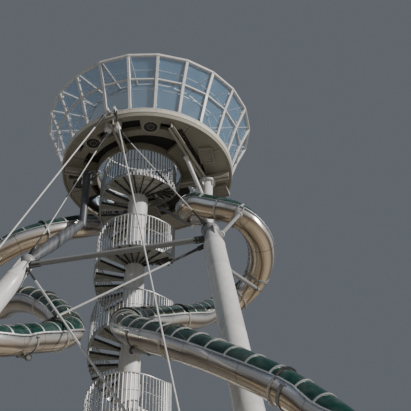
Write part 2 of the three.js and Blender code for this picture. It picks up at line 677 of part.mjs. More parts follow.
// Frames along the whole of a slide, closer together where it bends.
function slideStations(curve) {
  const length = curve.getLength();
  const stations = [stationAt(curve, 0)];
  let distance = 0;
  while (distance < length) {
    const { along } = stationAt(curve, distance);
    let step = STEP.longest;
    while (step > STEP.shortest && along.angleTo(stationAt(curve, distance + step).along) > STEP.turn) {
      step *= 0.9;
    }
    distance = length - distance - step < STEP.shortest ? length : distance + step;
    stations.push(stationAt(curve, distance));
  }
  return stations;
}

// Points of an arc of the tube's section, in degrees.
function arc(radius, from, to) {
  const step = 360 / TUBE_FACETS * Math.sign(to - from);
  const points = [];
  for (let k = 0; k <= Math.round((to - from) / step); k += 1) {
    const angle = THREE.MathUtils.degToRad(from + k * step);
    points.push([radius * Math.cos(angle), radius * Math.sin(angle)]);
  }
  return points;
}

const lifted = (section, lift) => section.map(([a, b]) => [a, b + lift]);

function slideSections() {
  const inner = SLIDE_RADIUS - SLIDE_WALL;
  return {
    chute: [...arc(SLIDE_RADIUS, 180, 360), ...arc(inner, 0, -180)],
    cover: lifted([...arc(SLIDE_RADIUS, 0, 180), ...arc(inner, 180, 0)], COVER_LIFT),
    whole: arc(SLIDE_RADIUS + 2 * GAP, 0, 315),
  };
}

function planSlide(name) {
  const curve = slideRoute(name);
  const stations = slideStations(curve);
  const sections = slideSections();
  const hatchStations = [stationAt(curve, 0), stationAt(curve, HATCH.length)];
  const { halfWidth, low, high } = HATCH;
  const hatchSection = [[-halfWidth, low], [halfWidth, low], [halfWidth, high], [-halfWidth, high]];
  return {
    curve,
    stations,
    sections,
    envelope: solid(sweep(stations, sections.whole)),
    hatch: solid(sweep(hatchStations, hatchSection)),
  };
}

// Shifts the first station along the route so that two lengths meet with a hair's gap.
function lengthOf(stations, from, to) {
  const [first, ...rest] = stations.slice(from, to + 1);
  const shift = from === 0 ? 0 : GAP;
  return [{ ...first, at: first.at.clone().addScaledVector(first.along, shift) }, ...rest];
}

function makeSlide(name) {
  const { stations, sections } = slides[name];
  const end = stations.length - 1;
  const middle = Math.round(end * LENGTH_SPLIT);
  const coverStart = stations.findIndex(({ distance }) => distance > COVER_START);
  add(`${name}_chute_upper`, sweep(lengthOf(stations, 0, middle), sections.chute), 'stainless');
  add(`${name}_chute_lower`, sweep(lengthOf(stations, middle, end), sections.chute), 'stainless');
  add(`${name}_cover_upper`, sweep(lengthOf(stations, coverStart, middle), sections.cover), 'cover');
  add(`${name}_cover_lower`, sweep(lengthOf(stations, middle, end - 2), sections.cover), 'cover');
}

// Arms from a leg that pass under its slide, each with a short post up to the tube.
function slideArms(name, leg) {
  if (!(name in slides)) {
    return [];
  }
  const { stations, envelope } = slides[name];
  return ARM_HEIGHTS[name].map(([legMetres, slideMetres]) => {
    const height = 1000 * slideMetres;
    const { at } = stations.reduce((best, other) => (
      Math.abs(other.at.z - height) < Math.abs(best.at.z - height) ? other : best));
    const from = legAxis(leg, 1000 * legMetres);
    const under = at.clone().setZ(at.z - ARM.drop);
    const reach = under.clone().sub(from).setZ(0).setLength(ARM.beyond);
    const arm = solid(bar(from, under.clone().add(reach), ARM.width, ARM.height));
    return arm.add(solid(bar(under, at, ARM.width))).subtract(envelope);
  });
}

// What carries the tops and the bottom ends of the slides.
function makeSlideSupports() {
  const floorBottom = DECK_FLOOR_TOP - DECK_FLOOR_THICKNESS - GAP;
  const plateZone = solid(ring(UNDERPLATE.inner - 2 * GAP, UNDERPLATE.outer + GAP, UNDERPLATE.bottom - GAP,
    DECK_FLOOR_TOP, 2 * CROWN_BAYS, CROWN_X));
  const hangerFoot = point(...HANGER.to);
  const hangerHead = point(...HANGER.from, floorBottom + HANGER.over);
  const hanger = solid(bar(hangerFoot, hangerHead, HANGER.width, HANGER.thickness));
  const hung = hanger.trimByPlane([0, 0, -1], -floorBottom).subtract(slides.right.envelope);
  add('slide_hanger', geometryOf(hung.subtract(plateZone)), 'steel');

  for (const [name, { curve, stations, envelope, hatch }] of Object.entries(slides)) {
    const { at, side } = stationAt(curve, YOKE.distance);
    const bottom = at.z - SLIDE_RADIUS - YOKE.below;
    const angle = THREE.MathUtils.radToDeg(Math.atan2(side.y, side.x));
    const centre = [at.x, at.y, (bottom + floorBottom) / 2];
    const yoke = solid(blockAt(centre, [YOKE.width, YOKE.thickness, floorBottom - bottom], angle));
    const fitted = yoke.subtract(envelope).subtract(hatch).subtract(plateZone);
    add(`${name}_slide_yoke`, geometryOf(fitted), 'steel');

    const last = stations[stations.length - STAND.fromEnd];
    const standAngle = THREE.MathUtils.radToDeg(Math.atan2(last.side.y, last.side.x));
    const { x, y, z } = last.at;
    const stand = solid(blockAt([x, y, z / 2], [STAND.width, STAND.depth, z], standAngle));
    add(`${name}_slide_stand`, geometryOf(stand.subtract(envelope)), 'steel');
  }
}

const slides = { right: planSlide('right'), left: planSlide('left') };

makeMast();
for (let flight = 0; flight < FLIGHT_STARTS.length; flight += 1) {
  makeFlight(flight);
  makeRailing(flight);
}
makeDeck();
makeGirders();
makeCrown();
makeCrownGlass();
makeCanopy();
for (const [name, places] of Object.entries(LEGS)) {
  makeLeg(name, places);
}
makeBracing();
makeSlide('right');
makeSlide('left');
makeSlideSupports();

export default tower;
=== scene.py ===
"""Dresses the slide tower: mast and spiral stair, raking legs, glazed deck and two tube slides."""

import math
from functools import cache

import bmesh
import bpy
from mathutils import Matrix, Vector


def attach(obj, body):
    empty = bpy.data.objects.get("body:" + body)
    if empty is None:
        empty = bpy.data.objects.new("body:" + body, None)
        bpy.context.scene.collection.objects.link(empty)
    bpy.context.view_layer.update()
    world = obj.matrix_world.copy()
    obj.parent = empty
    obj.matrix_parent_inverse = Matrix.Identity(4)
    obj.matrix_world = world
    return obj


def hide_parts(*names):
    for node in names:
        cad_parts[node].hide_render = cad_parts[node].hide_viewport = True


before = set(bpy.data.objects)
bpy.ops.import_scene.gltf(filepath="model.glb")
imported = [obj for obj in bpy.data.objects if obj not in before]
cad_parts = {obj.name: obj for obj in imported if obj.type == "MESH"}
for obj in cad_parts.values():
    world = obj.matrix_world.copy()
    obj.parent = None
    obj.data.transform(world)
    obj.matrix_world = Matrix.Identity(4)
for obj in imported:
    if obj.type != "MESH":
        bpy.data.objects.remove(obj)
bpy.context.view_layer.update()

bl_info = {
    "name": "Slide tower",
    "version": (1, 0, 0),
    "blender": (4, 5, 0),
    "location": "View3D > Sidebar > Slide tower",
    "description": "Builds the visible pieces and finishes of a slide tower round its packed solids",
    "category": "Object",
}

TURN = 2 * math.pi
UP = Vector((0, 0, 1))

# Sizes in metres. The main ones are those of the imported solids.
MAST_RADIUS = 0.25
MAST_TOP = 26.3
BASE_PLATE = (0.62, 0.05)
BASE_BOLTS = {"count": 12, "ring": 0.5}
SOLID_GAP = 0.0005
PART_GAP = 0.001
RISERS = 136
RISERS_PER_TURN = 14
FLIGHT_STARTS = (1, 18, 32, 46, 60, 74, 88, 102, 116)
REST = {"lowest": 4, "start": -150, "span": 120}
TREAD_SPAN = (360 - REST["span"]) / (RISERS_PER_TURN - 1)
TOP_LANDING_SPAN = 30
DECK_TOP = 26.45
RISE = DECK_TOP / RISERS
TREAD_RADIUS = 1.12
TREAD_PLATE = 0.012
STIFFENER_RADII = (0.62, 0.86)
TOP_LANDING_RADIUS = 1.285
SLEEVE_RADII = (MAST_RADIUS + 0.002, MAST_RADIUS + 0.046)
EDGE_RADIUS = 1.1275
HANDRAIL = {"radius": 1.1205, "height": 1.076}
MIDDLE_RAIL_HEIGHT = 0.56
CROWN_CENTRE = Vector((0.25, 0, 0))
BAYS = 22
CROWN_PHASE = math.radians(-185.3)
DECK_RADIUS = 2.56
FASCIA = {"bottom": 26.19, "top": 26.5, "outer": 2.62}
UNDERSIDE = {"bottom": 26.21, "top": 26.359}
# Plates of the underside as (from, to) in degrees, with the radii they span.
UNDERSIDE_PLATES = (
    ((0, 360), 2.42, 2.555), ((150, 191), 1.8, 2.03), ((208, 374), 1.8, 2.03), ((48, 112), 1.8, 2.03),
    ((-147.5, -133), 2.03, 2.42), ((-97, -82), 2.03, 2.42), ((-73, 14), 2.03, 2.42), ((48, 112), 2.03, 2.42),
    ((150, 174), 2.03, 2.42), ((186, 205), 2.03, 2.42), ((-82, -73), 2.03, 2.1), ((-82, -73), 2.34, 2.42),
    ((-133, -122), 2.3, 2.42), ((-155, -147.5), 2.03, 2.26),
)
INNER_PLATES = (((-52, 13), 1.335, 1.95), ((160, 196), 1.335, 1.6), ((55, 100), 1.335, 1.75))
PORTS = {"radius": 0.215, "ring": 2.15, "angles": (-89.2, -140.7, 168)}
CROWN_LEVELS = ((2.565, 26.45), (2.893, 27.51), (3.2, 28.25))
CROWN_HANDRAIL = {"radius": 2.44, "z": 27.55}
CANOPY = {"outer": 3.2, "purlin": 2.57, "inner": 1.94, "z": 28.31}
PANE_INSET = 0.044
PANE_THICKNESS = 0.014
LINING = (1.292, 1.33, 26.09)
GIRDER_BOTTOM = 25.95
GIRDER_WEB_TOP = 26.19
GIRDERS = (
    ((1.27, 0.07), (2.74, -0.44)), ((0.88, -2.40), (2.05, -0.19)),
    ((-1.27, -0.17), (-2.27, -0.32)), ((-0.03, 1.29), (-0.06, 2.49)),
)
ANCHOR_BEAM = ((-0.426, -1.239), (-0.83, -2.41))
INNER_HEADS = ((-0.96, -2.159), (-0.686, -2.251))
OUTER_HEADS = {"z": 26.2, "turn": math.radians(-19), "at": ((-0.985, -2.72), (-0.785, -2.79))}
DECK_BRACE = ((1.393, -1.195, 25.94), (2.02, -0.3, 25.0))
# The pairs of bolts under one beam, the dark strip beside it, which is the beam's painted shadow, and the
# studs beside it.
BEAM_BOLTS = {"first": (1.03, -2.09), "along": (0.363, 0.932), "pairs": 9, "spacing": 0.09, "aside": 0.06}
BEAM_SHADOW_STRIP = ((1.13, -2.1, 26.203), (1.86, -0.62, 26.203))
STUDS = ((1.72, -1.37), (1.87, -0.81))
# Joints between the plates of the underside, in degrees, with the radii of their screws.
PLATE_SEAMS = {"angles": (-62, -33, -8, 56, 80, 104, 160, 198), "middle": 2.165, "length": 0.72,
               "screws": [1.86 + k * 0.12 for k in range(6)]}
# Louvres under the deck: x, y, turn in degrees, width and depth.
LOUVRES = ((2.0, -1.13, 76, 0.56, 0.4), (0.48, 1.55, 70, 0.5, 0.4), (2.57, 0.42, 70, 0.46, 0.44))
LOUVRE_Z = 26.15
NODE_Z = 21.3
COLUMN_FOOT_Z = 24.0
COLUMN_SEAM_Z = 24.91
COLUMN_RADIUS = 0.165
COLUMN_FLANGE = 0.25
LEG_RADII = (0.4, 0.27, 0.12)
LEG_SUNK = 0.6
FOOT_PLATE = {"radius": 0.95, "top": 0.06, "bolt_ring": 0.84}
LEG_SEAMS = {"first": 2.4, "spacing": 3.1}
CONE_LENGTH = 0.9
BALL_RADIUS = 0.23
# Radii of the strut, by the share of its length.
STRUT_SHAPE = (
    (0.12, 0.05), (0.15, 0.12), (0.19, 0.25), (0.222, 0.4), (0.226, 0.5), (0.214, 0.65), (0.18, 0.8),
    (0.15, 0.9), (0.13, 0.97),
)
# Radius of each rod, and how long its end takes to thin down to it.
ROD_SHAPES = {
    "inner_rod_right": (0.016, 0.5), "inner_rod_left": (0.016, 0.5), "outer_rod_right": (0.02, 0.6),
    "outer_rod_left": (0.02, 0.6), "cross_rod_right": (0.03, 0.7), "cross_rod_left": (0.028, 0.8),
}
LEGS = {
    "right": {"column": (2.1, -0.17), "node": (1.98, -3.19), "foot": (3.28, -12.64)},
    "left": {"column": (-1.59, -0.22), "node": (-2.87, -1.59), "foot": (-10.4, -7.46)},
    "far": {"column": (-0.05, 2.25), "node": (0.02, 4.1), "foot": (2.4, 12.3)},
}
TUBE_RADIUS = 0.36
TUBE_WALL = 0.012
FLANGE = {"inner": 0.361, "outer": 0.402, "gasket": 0.397, "bolts": 0.383,
          "spans": ((-0.016, -0.004), (0.004, 0.016))}
RIM_BOLT_SPACING = 0.18
COVER_INSET = 1.7
EDGE_STRIP = ((0.35, 0.0015), (0.404, 0.0015), (0.404, 0.012), (0.366, 0.014), (0.364, 0.04), (0.35, 0.04))
COIL_PITCH = 6.3
COIL_END_Z = 1.4
COIL_RADIUS = 2.4
RUN_OUT = ((1.2, 1.05), (2.6, 0.83), (4.2, 0.76))
# The way each slide coils, and the points that it passes before its even coil.
ROUTES = {
    "right": (1, (
        (1.80, 1.42, 26.05), (1.93, 0.95, 25.65), (1.87, 0.52, 25.32), (1.60, 0.19, 25.05),
        (1.54, -0.24, 24.80), (1.70, -0.63, 24.57), (2.10, -0.82, 24.33), (2.60, -1.02, 24.03),
        (2.95, -1.05, 23.82), (3.32, -0.88, 23.58), (3.62, -0.50, 23.30), (3.68, 0.05, 23.00),
        (3.49, 0.60, 22.68), (2.98, 0.90, 22.25), (2.20, 0.52, 21.50), (1.60, -0.55, 20.45),
        (0.78, -1.60, 19.55), (0.15, -2.70, 18.65), (-0.10, -3.80, 17.70), (0.25, -5.00, 16.60),
        (1.09, -6.20, 15.50), (2.05, -7.30, 14.30), (2.75, -7.90, 13.50), (3.30, -8.20, 12.90),
        (3.95, -8.60, 12.00),
    )),
    "left": (-1, (
        (-0.60, 1.85, 26.05), (-1.00, 1.47, 25.55), (-1.32, 1.05, 25.08), (-1.62, 0.66, 24.65),
        (-2.02, 0.36, 24.28), (-2.69, 0.14, 23.85), (-3.37, 0.06, 23.42), (-3.95, 0.18, 23.05),
        (-4.50, 0.42, 22.70), (-4.72, 0.95, 22.38), (-4.35, 1.40, 22.08), (-3.80, 1.15, 21.82),
        (-3.45, 0.50, 21.55), (-2.95, -0.20, 21.10), (-2.34, -0.90, 20.40), (-1.78, -1.68, 19.42),
        (-1.50, -2.50, 18.42), (-1.86, -3.27, 17.66), (-2.40, -3.97, 17.06), (-2.86, -4.64, 16.50),
    )),
}
ARM_HEIGHTS = {
    "right": ((19.6, 22.8), (15.3, 16.6), (12.7, 13.2), (10.1, 10.6), (7.7, 8.2), (5.1, 5.6), (2.7, 3.2)),
    "left": ((18.1, 17.1), (14.7, 15.2), (11.9, 12.4), (8.4, 8.9), (6.3, 6.8), (3.5, 4.0)),
}
ARM_DROP = 0.47
SENSOR_WIDTH = 36
CAMERA = {
    "at": (0.25, -25.7336, 1.4825), "right": (0.997652, -0.068467, -0.001704),
    "ahead": (0.051627, 0.735451, 0.675608),
}
NODE_BRACKET = {"leg": "right", "slide_z": 23.82, "start": (0.24, -0.16, -0.25), "tip": (-0.04, -0.35, -0.3)}


# Shapes

def polar(radius, angle, z, centre=Vector()):
    return centre + Vector((radius * math.cos(angle), radius * math.sin(angle), z))


def shift(x, y, z):
    return Matrix.Translation((x, y, z))


def spun(angle):
    return Matrix.Rotation(angle, 4, "Z")


def axes(at, *directions):
    """A frame at a point from the directions of its X, Y and Z."""
    return Matrix.Translation(at) @ Matrix(directions).transposed().to_4x4()


def upright(at, along):
    """A frame whose Z runs along a route, with X level and to its left."""
    side = Vector((-along.y, along.x, 0)).normalized()
    return axes(at, side, along.cross(side), along)


def facing(start, end):
    """A frame at start whose Z points at end."""
    return Matrix.Translation(start) @ (end - start).to_track_quat("Z", "Y").to_matrix().to_4x4()


def arc(radius, start, end, steps):
    """Points of an arc in degrees, in the plane of a section."""
    angles = [math.radians(start + (end - start) * k / steps) for k in range(steps + 1)]
    return [(radius * math.cos(a), radius * math.sin(a)) for a in angles]


def band(inner, outer, start, end, steps):
    """The outline of an arched strip between two radii."""
    return [*arc(inner, start, end, steps), *arc(outer, end, start, steps)]


def new_verts(grown):
    return [g for g in grown["geom"] if isinstance(g, bmesh.types.BMVert)]


def carry(bm, frames, outline, distances=None, finish=0):
    """Extrudes a closed outline through frames, and writes distance and place round it as UVs."""
    loop = [bm.verts.new(frames[0] @ Vector((a, b, 0))) for a, b in outline]
    edges = [bm.edges.new((vert, loop[(i + 1) % len(loop)])) for i, vert in enumerate(loop)]
    place = {v: (0.0, (math.atan2(b, a) / TURN) % 1) for v, (a, b) in zip(loop, outline)}
    faces = [bm.faces.new(list(reversed(loop)))]
    for k in range(1, len(frames)):
        grown = bmesh.ops.extrude_edge_only(bm, edges=edges)
        verts = new_verts(grown)
        bmesh.ops.transform(bm, matrix=frames[k] @ frames[k - 1].inverted(), verts=verts)
        fresh = set(verts)
        for vert in verts:
            before = next(e.other_vert(vert) for e in vert.link_edges if e.other_vert(vert) not in fresh)
            place[vert] = (distances[k] if distances else k, place[before][1])
        edges = [g for g in grown["geom"] if isinstance(g, bmesh.types.BMEdge) and set(g.verts) <= fresh]
        faces += [g for g in grown["geom"] if isinstance(g, bmesh.types.BMFace)]
    faces += bmesh.ops.edgeloop_fill(bm, edges=edges)["faces"]
    uv = bm.loops.layers.uv.verify()
    for face in faces:
        face.material_index = finish
        for corner in face.loops:
            corner[uv].uv = place[corner.vert]
    bmesh.ops.recalc_face_normals(bm, faces=faces)


def hoops(bm, route, spot, spans, outline, finish=0):
    """Short lengths of an outline carried across one spot of a route."""
    for near, far in spans:
        carry(bm, [route.frame(spot + near), route.frame(spot + far)], outline, None, finish)


def slab(bm, corners, offset):
    """A flat plate from the corners of one face."""
    face = bm.faces.new([bm.verts.new(c) for c in corners])
    verts = new_verts(bmesh.ops.extrude_face_region(bm, geom=[face]))
    bmesh.ops.translate(bm, vec=offset, verts=verts)
    bmesh.ops.recalc_face_normals(bm, faces=list({f for v in verts for f in v.link_faces}))


def rod(bm, start, end, radius, segments=12, finish=0, far_radius=None):
    start, end = Vector(start), Vector(end)
    length = (end - start).length
    made = bmesh.ops.create_cone(
        bm, cap_ends=True, segments=segments, radius1=radius,
        radius2=radius if far_radius is None else far_radius, depth=length,
        matrix=facing(start, end) @ shift(0, 0, length / 2))
    colour(made["verts"], finish)


def collars(bm, start, along, spans, radius, segments, finish):
    """Short round or hexagonal lengths on a line, each from one distance to another."""
    for near, far in spans:
        rod(bm, start + along * near, start + along * far, radius, segments, finish)


def hex_head(bm, matrix, size, depth, finish):
    made = bmesh.ops.create_cone(
        bm, cap_ends=True, segments=6, radius1=size, radius2=size, depth=depth, matrix=matrix)
    colour(made["verts"], finish)


def ball(bm, centre, radius, segments, rings, finish):
    made = bmesh.ops.create_uvsphere(
        bm, u_segments=segments, v_segments=rings, radius=radius, matrix=Matrix.Translation(centre))
    colour(made["verts"], finish)


def block(bm, matrix, size, finish=0, bevel=0.0):
    made = bmesh.ops.create_cube(bm, size=1, matrix=matrix @ Matrix.Diagonal((*size, 1)))
    if bevel:
        edges = list(dict.fromkeys(e for v in made["verts"] for e in v.link_edges))
        made = bmesh.ops.bevel(
            bm, geom=edges, offset=bevel, affect="EDGES", segments=1, profile=0.5, material=-1)
    colour(made["verts"], finish)


def colour(verts, finish):
    for face in {f for v in verts for f in v.link_faces}:
        face.material_index = finish


def lathe(bm, matrix, profile, segments=40, finish=0, sweep=TURN):
    """Spins a profile of (radius, height) round a frame's Z; a closed profile makes a ring."""
    part = bmesh.new()
    closed = profile[0] == profile[-1]
    points = profile[:-1] if closed else profile
    verts = [part.verts.new((r, 0, z)) for r, z in points]
    edges = [part.edges.new(pair) for pair in zip(verts, verts[1:])]
    if closed:
        edges.append(part.edges.new((verts[-1], verts[0])))
    full = abs(sweep - TURN) < 1e-6
    bmesh.ops.spin(part, geom=verts + edges, cent=(0, 0, 0), axis=(0, 0, 1), dvec=(0, 0, 0),
                   angle=sweep, steps=segments, use_merge=full, use_duplicate=False)
    bmesh.ops.remove_doubles(part, verts=part.verts, dist=1e-5)
    bmesh.ops.holes_fill(part, edges=part.edges, sides=0)
    bmesh.ops.recalc_face_normals(part, faces=part.faces)
    for face in part.faces:
        face.material_index = finish
    part.transform(matrix)
    merge(bm, part)


def merge(bm, part):
    mesh = bpy.data.meshes.new("part")
    part.to_mesh(mesh)
    part.free()
    bm.from_mesh(mesh)
    bpy.data.meshes.remove(mesh)


def ring(inner, outer, bottom, top):
    return [(inner, bottom), (outer, bottom), (outer, top), (inner, top), (inner, bottom)]


def turned(radius, bottom, top, edge):
    """The profile of a solid disc or post with a chamfered top edge."""
    return [(0, bottom), (radius, bottom), (radius, top - edge), (radius - edge, top), (0, top)]


def make_piece(name, bm, finishes, replaces=(), sharp=32):
    """Turns a finished bmesh into a piece that rides on the tower."""
    for edge in bm.edges:
        if len(edge.link_faces) == 2 and edge.calc_face_angle(0) > math.radians(sharp):
            edge.smooth = False
    for face in bm.faces:
        face.smooth = True
    mesh = bpy.data.meshes.new(name)
    bm.to_mesh(mesh)
    bm.free()
    for finish in finishes:
        mesh.materials.append(material_of(finish))
    piece = bpy.data.objects.new(name, mesh)
    bpy.context.scene.collection.objects.link(piece)
    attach(piece, "root")
    if replaces:
        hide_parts(*replaces)
    return piece


# Routes of the slides

def leg_axis(leg, z):
    share = (NODE_Z - z) / NODE_Z
    (x1, y1), (x2, y2) = LEGS[leg]["node"], LEGS[leg]["foot"]
    return Vector((x1 + (x2 - x1) * share, y1 + (y2 - y1) * share, z))


def slide_points(side):
    turn, route = ROUTES[side]
    points = [Vector(p) for p in route]
    last = points[-1]
    offset = last - leg_axis(side, last.z)
    start_angle, start_radius = math.atan2(offset.y, offset.x), offset.to_2d().length
    fall = last.z - COIL_END_Z
    steps = round(fall / 0.48)
    for step in range(1, steps + 1):
        z = last.z - fall * step / steps
        angle = start_angle + turn * TURN * (last.z - z) / COIL_PITCH
        radius = start_radius + (COIL_RADIUS - start_radius) * min(1, 2 * step / steps)
        axis = leg_axis(side, z)
        points.append(polar(radius, angle, z, Vector((axis.x, axis.y, 0))))
    end = points[-1]
    ahead = (end - points[-2]).to_2d().normalized()
    return points + [Vector((end.x + ahead.x * d, end.y + ahead.y * d, z)) for d, z in RUN_OUT]


class Route:
    """A smooth line through points, measured along its length."""

    def __init__(self, points):
        ends = [2 * points[0] - points[1], *points, 2 * points[-1] - points[-2]]
        self.line = [points[0]]
        for a, b, c, d in zip(ends, ends[1:], ends[2:], ends[3:]):
            self.line += self.span(a, b, c, d)
        self.reach = [0.0]
        for p, q in zip(self.line, self.line[1:]):
            self.reach.append(self.reach[-1] + (q - p).length)
        self.length = self.reach[-1]

    @staticmethod
    def span(a, b, c, d, steps=24):
        gaps = [max((q - p).length ** 0.5, 1e-4) for p, q in ((a, b), (b, c), (c, d))]
        start = (b - a) / gaps[0] - (c - a) / (gaps[0] + gaps[1]) + (c - b) / gaps[1]
        end = (c - b) / gaps[1] - (d - b) / (gaps[1] + gaps[2]) + (d - c) / gaps[2]
        start, end = start * gaps[1], end * gaps[1]
        points = []
        for k in range(1, steps + 1):
            t = k / steps
            points.append((2 * t ** 3 - 3 * t ** 2 + 1) * b + (t ** 3 - 2 * t ** 2 + t) * start
                          + (3 * t ** 2 - 2 * t ** 3) * c + (t ** 3 - t ** 2) * end)
        return points

    def at(self, distance):
        distance = min(max(distance, 0), self.length)
        low, high = 0, len(self.reach) - 1
        while high - low > 1:
            middle = (low + high) // 2
            low, high = (middle, high) if self.reach[middle] <= distance else (low, middle)
        share = (distance - self.reach[low]) / (self.reach[high] - self.reach[low])
        return self.line[low].lerp(self.line[high], share)

    def along(self, distance):
        distance = min(max(distance, 0.05), self.length - 0.05)
        return (self.at(distance + 0.05) - self.at(distance - 0.05)).normalized()

    def frame(self, distance):
        return upright(self.at(distance), self.along(distance))

    def stops(self, start, end, longest=0.3, turn=0.13):
        """Distances from start to end, closer together where the line bends."""
        stops = [start]
        while stops[-1] < end - 1e-6:
            step = longest
            here = self.along(stops[-1])
            while step > 0.06 and here.angle(self.along(stops[-1] + step)) > turn:
                step *= 0.85
            stops.append(end if end - stops[-1] - step < 0.05 else stops[-1] + step)
        return stops

    def low_at(self, z):
        """The distance at which the line first passes below a height."""
        return next(d for d, p in zip(self.reach, self.line) if p.z <= z)


SLIDES = {side: Route(slide_points(side)) for side in ROUTES}


# Finishes

def new_group(name, inputs):
    """A shader node group with named sockets: its tree, its input sockets and its output sockets."""
    kinds = {type(None): "NodeSocketVector", tuple: "NodeSocketColor", float: "NodeSocketFloat"}
    tree = bpy.data.node_groups.new(name, "ShaderNodeTree")
    for label, value in inputs.items():
        socket = tree.interface.new_socket(label, in_out="INPUT", socket_type=kinds[type(value)])
        if value is not None:
            socket.default_value = value
    for label, kind in (("Colour", tuple), ("Roughness", float), ("Height", float)):
        tree.interface.new_socket(label, in_out="OUTPUT", socket_type=kinds[kind])
    return tree, tree.nodes.new("NodeGroupInput").outputs, tree.nodes.new("NodeGroupOutput").inputs


def put(tree, socket, value):
    """Links a socket into another, or sets its value."""
    if isinstance(value, bpy.types.NodeSocket):
        tree.links.new(value, socket)
    elif isinstance(value, tuple) and socket.type == "RGBA":
        socket.default_value = (*value[:3], 1)
    else:
        socket.default_value = value


def add_node(tree, kind, links=None, **values):
    """Adds a node; values set its properties, links its sockets by name or number."""
    node = tree.nodes.new(kind)
    for key, value in values.items():
        setattr(node, key, value)
    for key, value in (links or {}).items():
        put(tree, node.inputs[key], value)
    return node


def noise(tree, vector, scale, detail):
    links = {"Vector": vector, "Scale": scale, "Detail": detail}
    return add_node(tree, "ShaderNodeTexNoise", links).outputs[0]


def stretched(tree, vector, scale):
    return add_node(tree, "ShaderNodeMapping", {"Vector": vector, "Scale": scale}).outputs[0]


def ramp(tree, fac, stops):
    node = add_node(tree, "ShaderNodeValToRGB", {"Fac": fac})
    elements = node.color_ramp.elements
    while len(elements) < len(stops):
        elements.new(0.5)
    for element, (position, shade) in zip(elements, stops):
        element.position, element.color = position, (*shade, 1)
    return node.outputs["Color"]


def mix(tree, fac, a, b, blend="MIX"):
    node = add_node(tree, "ShaderNodeMix", {0: fac, 6: a, 7: b}, data_type="RGBA", blend_type=blend)
    return node.outputs[2]


def number(tree, operation, a, b=0.0, clamp=False):
    return add_node(tree, "ShaderNodeMath", {0: a, 1: b}, operation=operation, use_clamp=clamp).outputs[0]


def product(tree, a, b, clamp=False):
    return number(tree, "MULTIPLY", a, b, clamp)


@cache
def weathering():
    """Faint clouding, downward runs of grime and fine orange-peel for painted and plated steel."""
    tree, source, sink = new_group("weathering", {
        "Vector": None, "Colour": (0.8, 0.8, 0.8, 1), "Grime Colour": (0.35, 0.32, 0.28, 1),
        "Grime": 0.3, "Roughness": 0.4, "Scale": 1.0})
    sized = add_node(tree, "ShaderNodeVectorMath", {0: source["Vector"], "Scale": source["Scale"]},
                     operation="SCALE").outputs[0]
    streaks = noise(tree, stretched(tree, sized, (5, 5, 0.35)), 2.2, 5.0)
    clouds, peel = noise(tree, sized, 1.1, 4.0), noise(tree, sized, 60.0, 2.0)
    worn = product(tree, number(tree, "SUBTRACT", streaks, 0.42, True), clouds)
    amount = product(tree, product(tree, worn, 6.0, True), source["Grime"])
    shade = mix(tree, amount, source["Colour"], source["Grime Colour"])
    put(tree, sink["Colour"], mix(tree, product(tree, clouds, 0.16), shade, (1.0, 1.0, 1.0), "OVERLAY"))
    put(tree, sink["Roughness"], number(tree, "ADD", source["Roughness"], product(tree, amount, 0.45), True))
    put(tree, sink["Height"], number(tree, "ADD", peel, product(tree, worn, 0.6)))
    return tree


@cache
def spangle():
    """The patchy crystal pattern of hot-dip galvanising."""
    tree, source, sink = new_group("spangle", {
        "Vector": None, "Light": (0.62, 0.63, 0.64, 1), "Dark": (0.4, 0.41, 0.42, 1), "Size": 24.0})
    cells = add_node(tree, "ShaderNodeTexVoronoi", {"Vector": source["Vector"], "Scale": source["Size"]})
    clouds = noise(tree, source["Vector"], 2.5, 5.0)
    grey = add_node(tree, "ShaderNodeSeparateColor", {0: cells.outputs["Color"]}).outputs[0]
    share = number(tree, "ADD", product(tree, grey, 0.45), product(tree, clouds, 0.55))
    put(tree, sink["Colour"], mix(tree, share, source["Dark"], source["Light"]))
    put(tree, sink["Roughness"], number(tree, "ADD", product(tree, share, 0.25), 0.33))
    put(tree, sink["Height"], cells.outputs["Distance"])
    return tree


# Painted reflections round the stainless tube's lower half, by the share of a turn from its left side:
# sky-blue and white highlights near the rims, warm bands of reflected ground and dark bands.
REFLECTION_BANDS = (
    (0.5, (0.4, 0.45, 0.52)), (0.525, (0.97, 0.97, 1.0)), (0.56, (0.86, 0.82, 0.76)),
    (0.59, (0.16, 0.12, 0.09)), (0.625, (0.6, 0.48, 0.34)), (0.68, (0.9, 0.76, 0.58)),
    (0.735, (0.68, 0.54, 0.38)), (0.758, (0.17, 0.12, 0.085)), (0.785, (0.62, 0.49, 0.35)),
    (0.85, (0.88, 0.75, 0.58)), (0.885, (0.2, 0.15, 0.11)), (0.92, (0.72, 0.64, 0.54)),
    (0.955, (0.98, 0.97, 0.96)), (1.0, (0.36, 0.4, 0.46)),
)
# Thin dark lines across the tube, painted reflections of joints: spacing in metres, share of it, strength.
REFLECTED_JOINT_LINES = {"spacing": 0.9, "share": 0.022, "strength": 0.6}


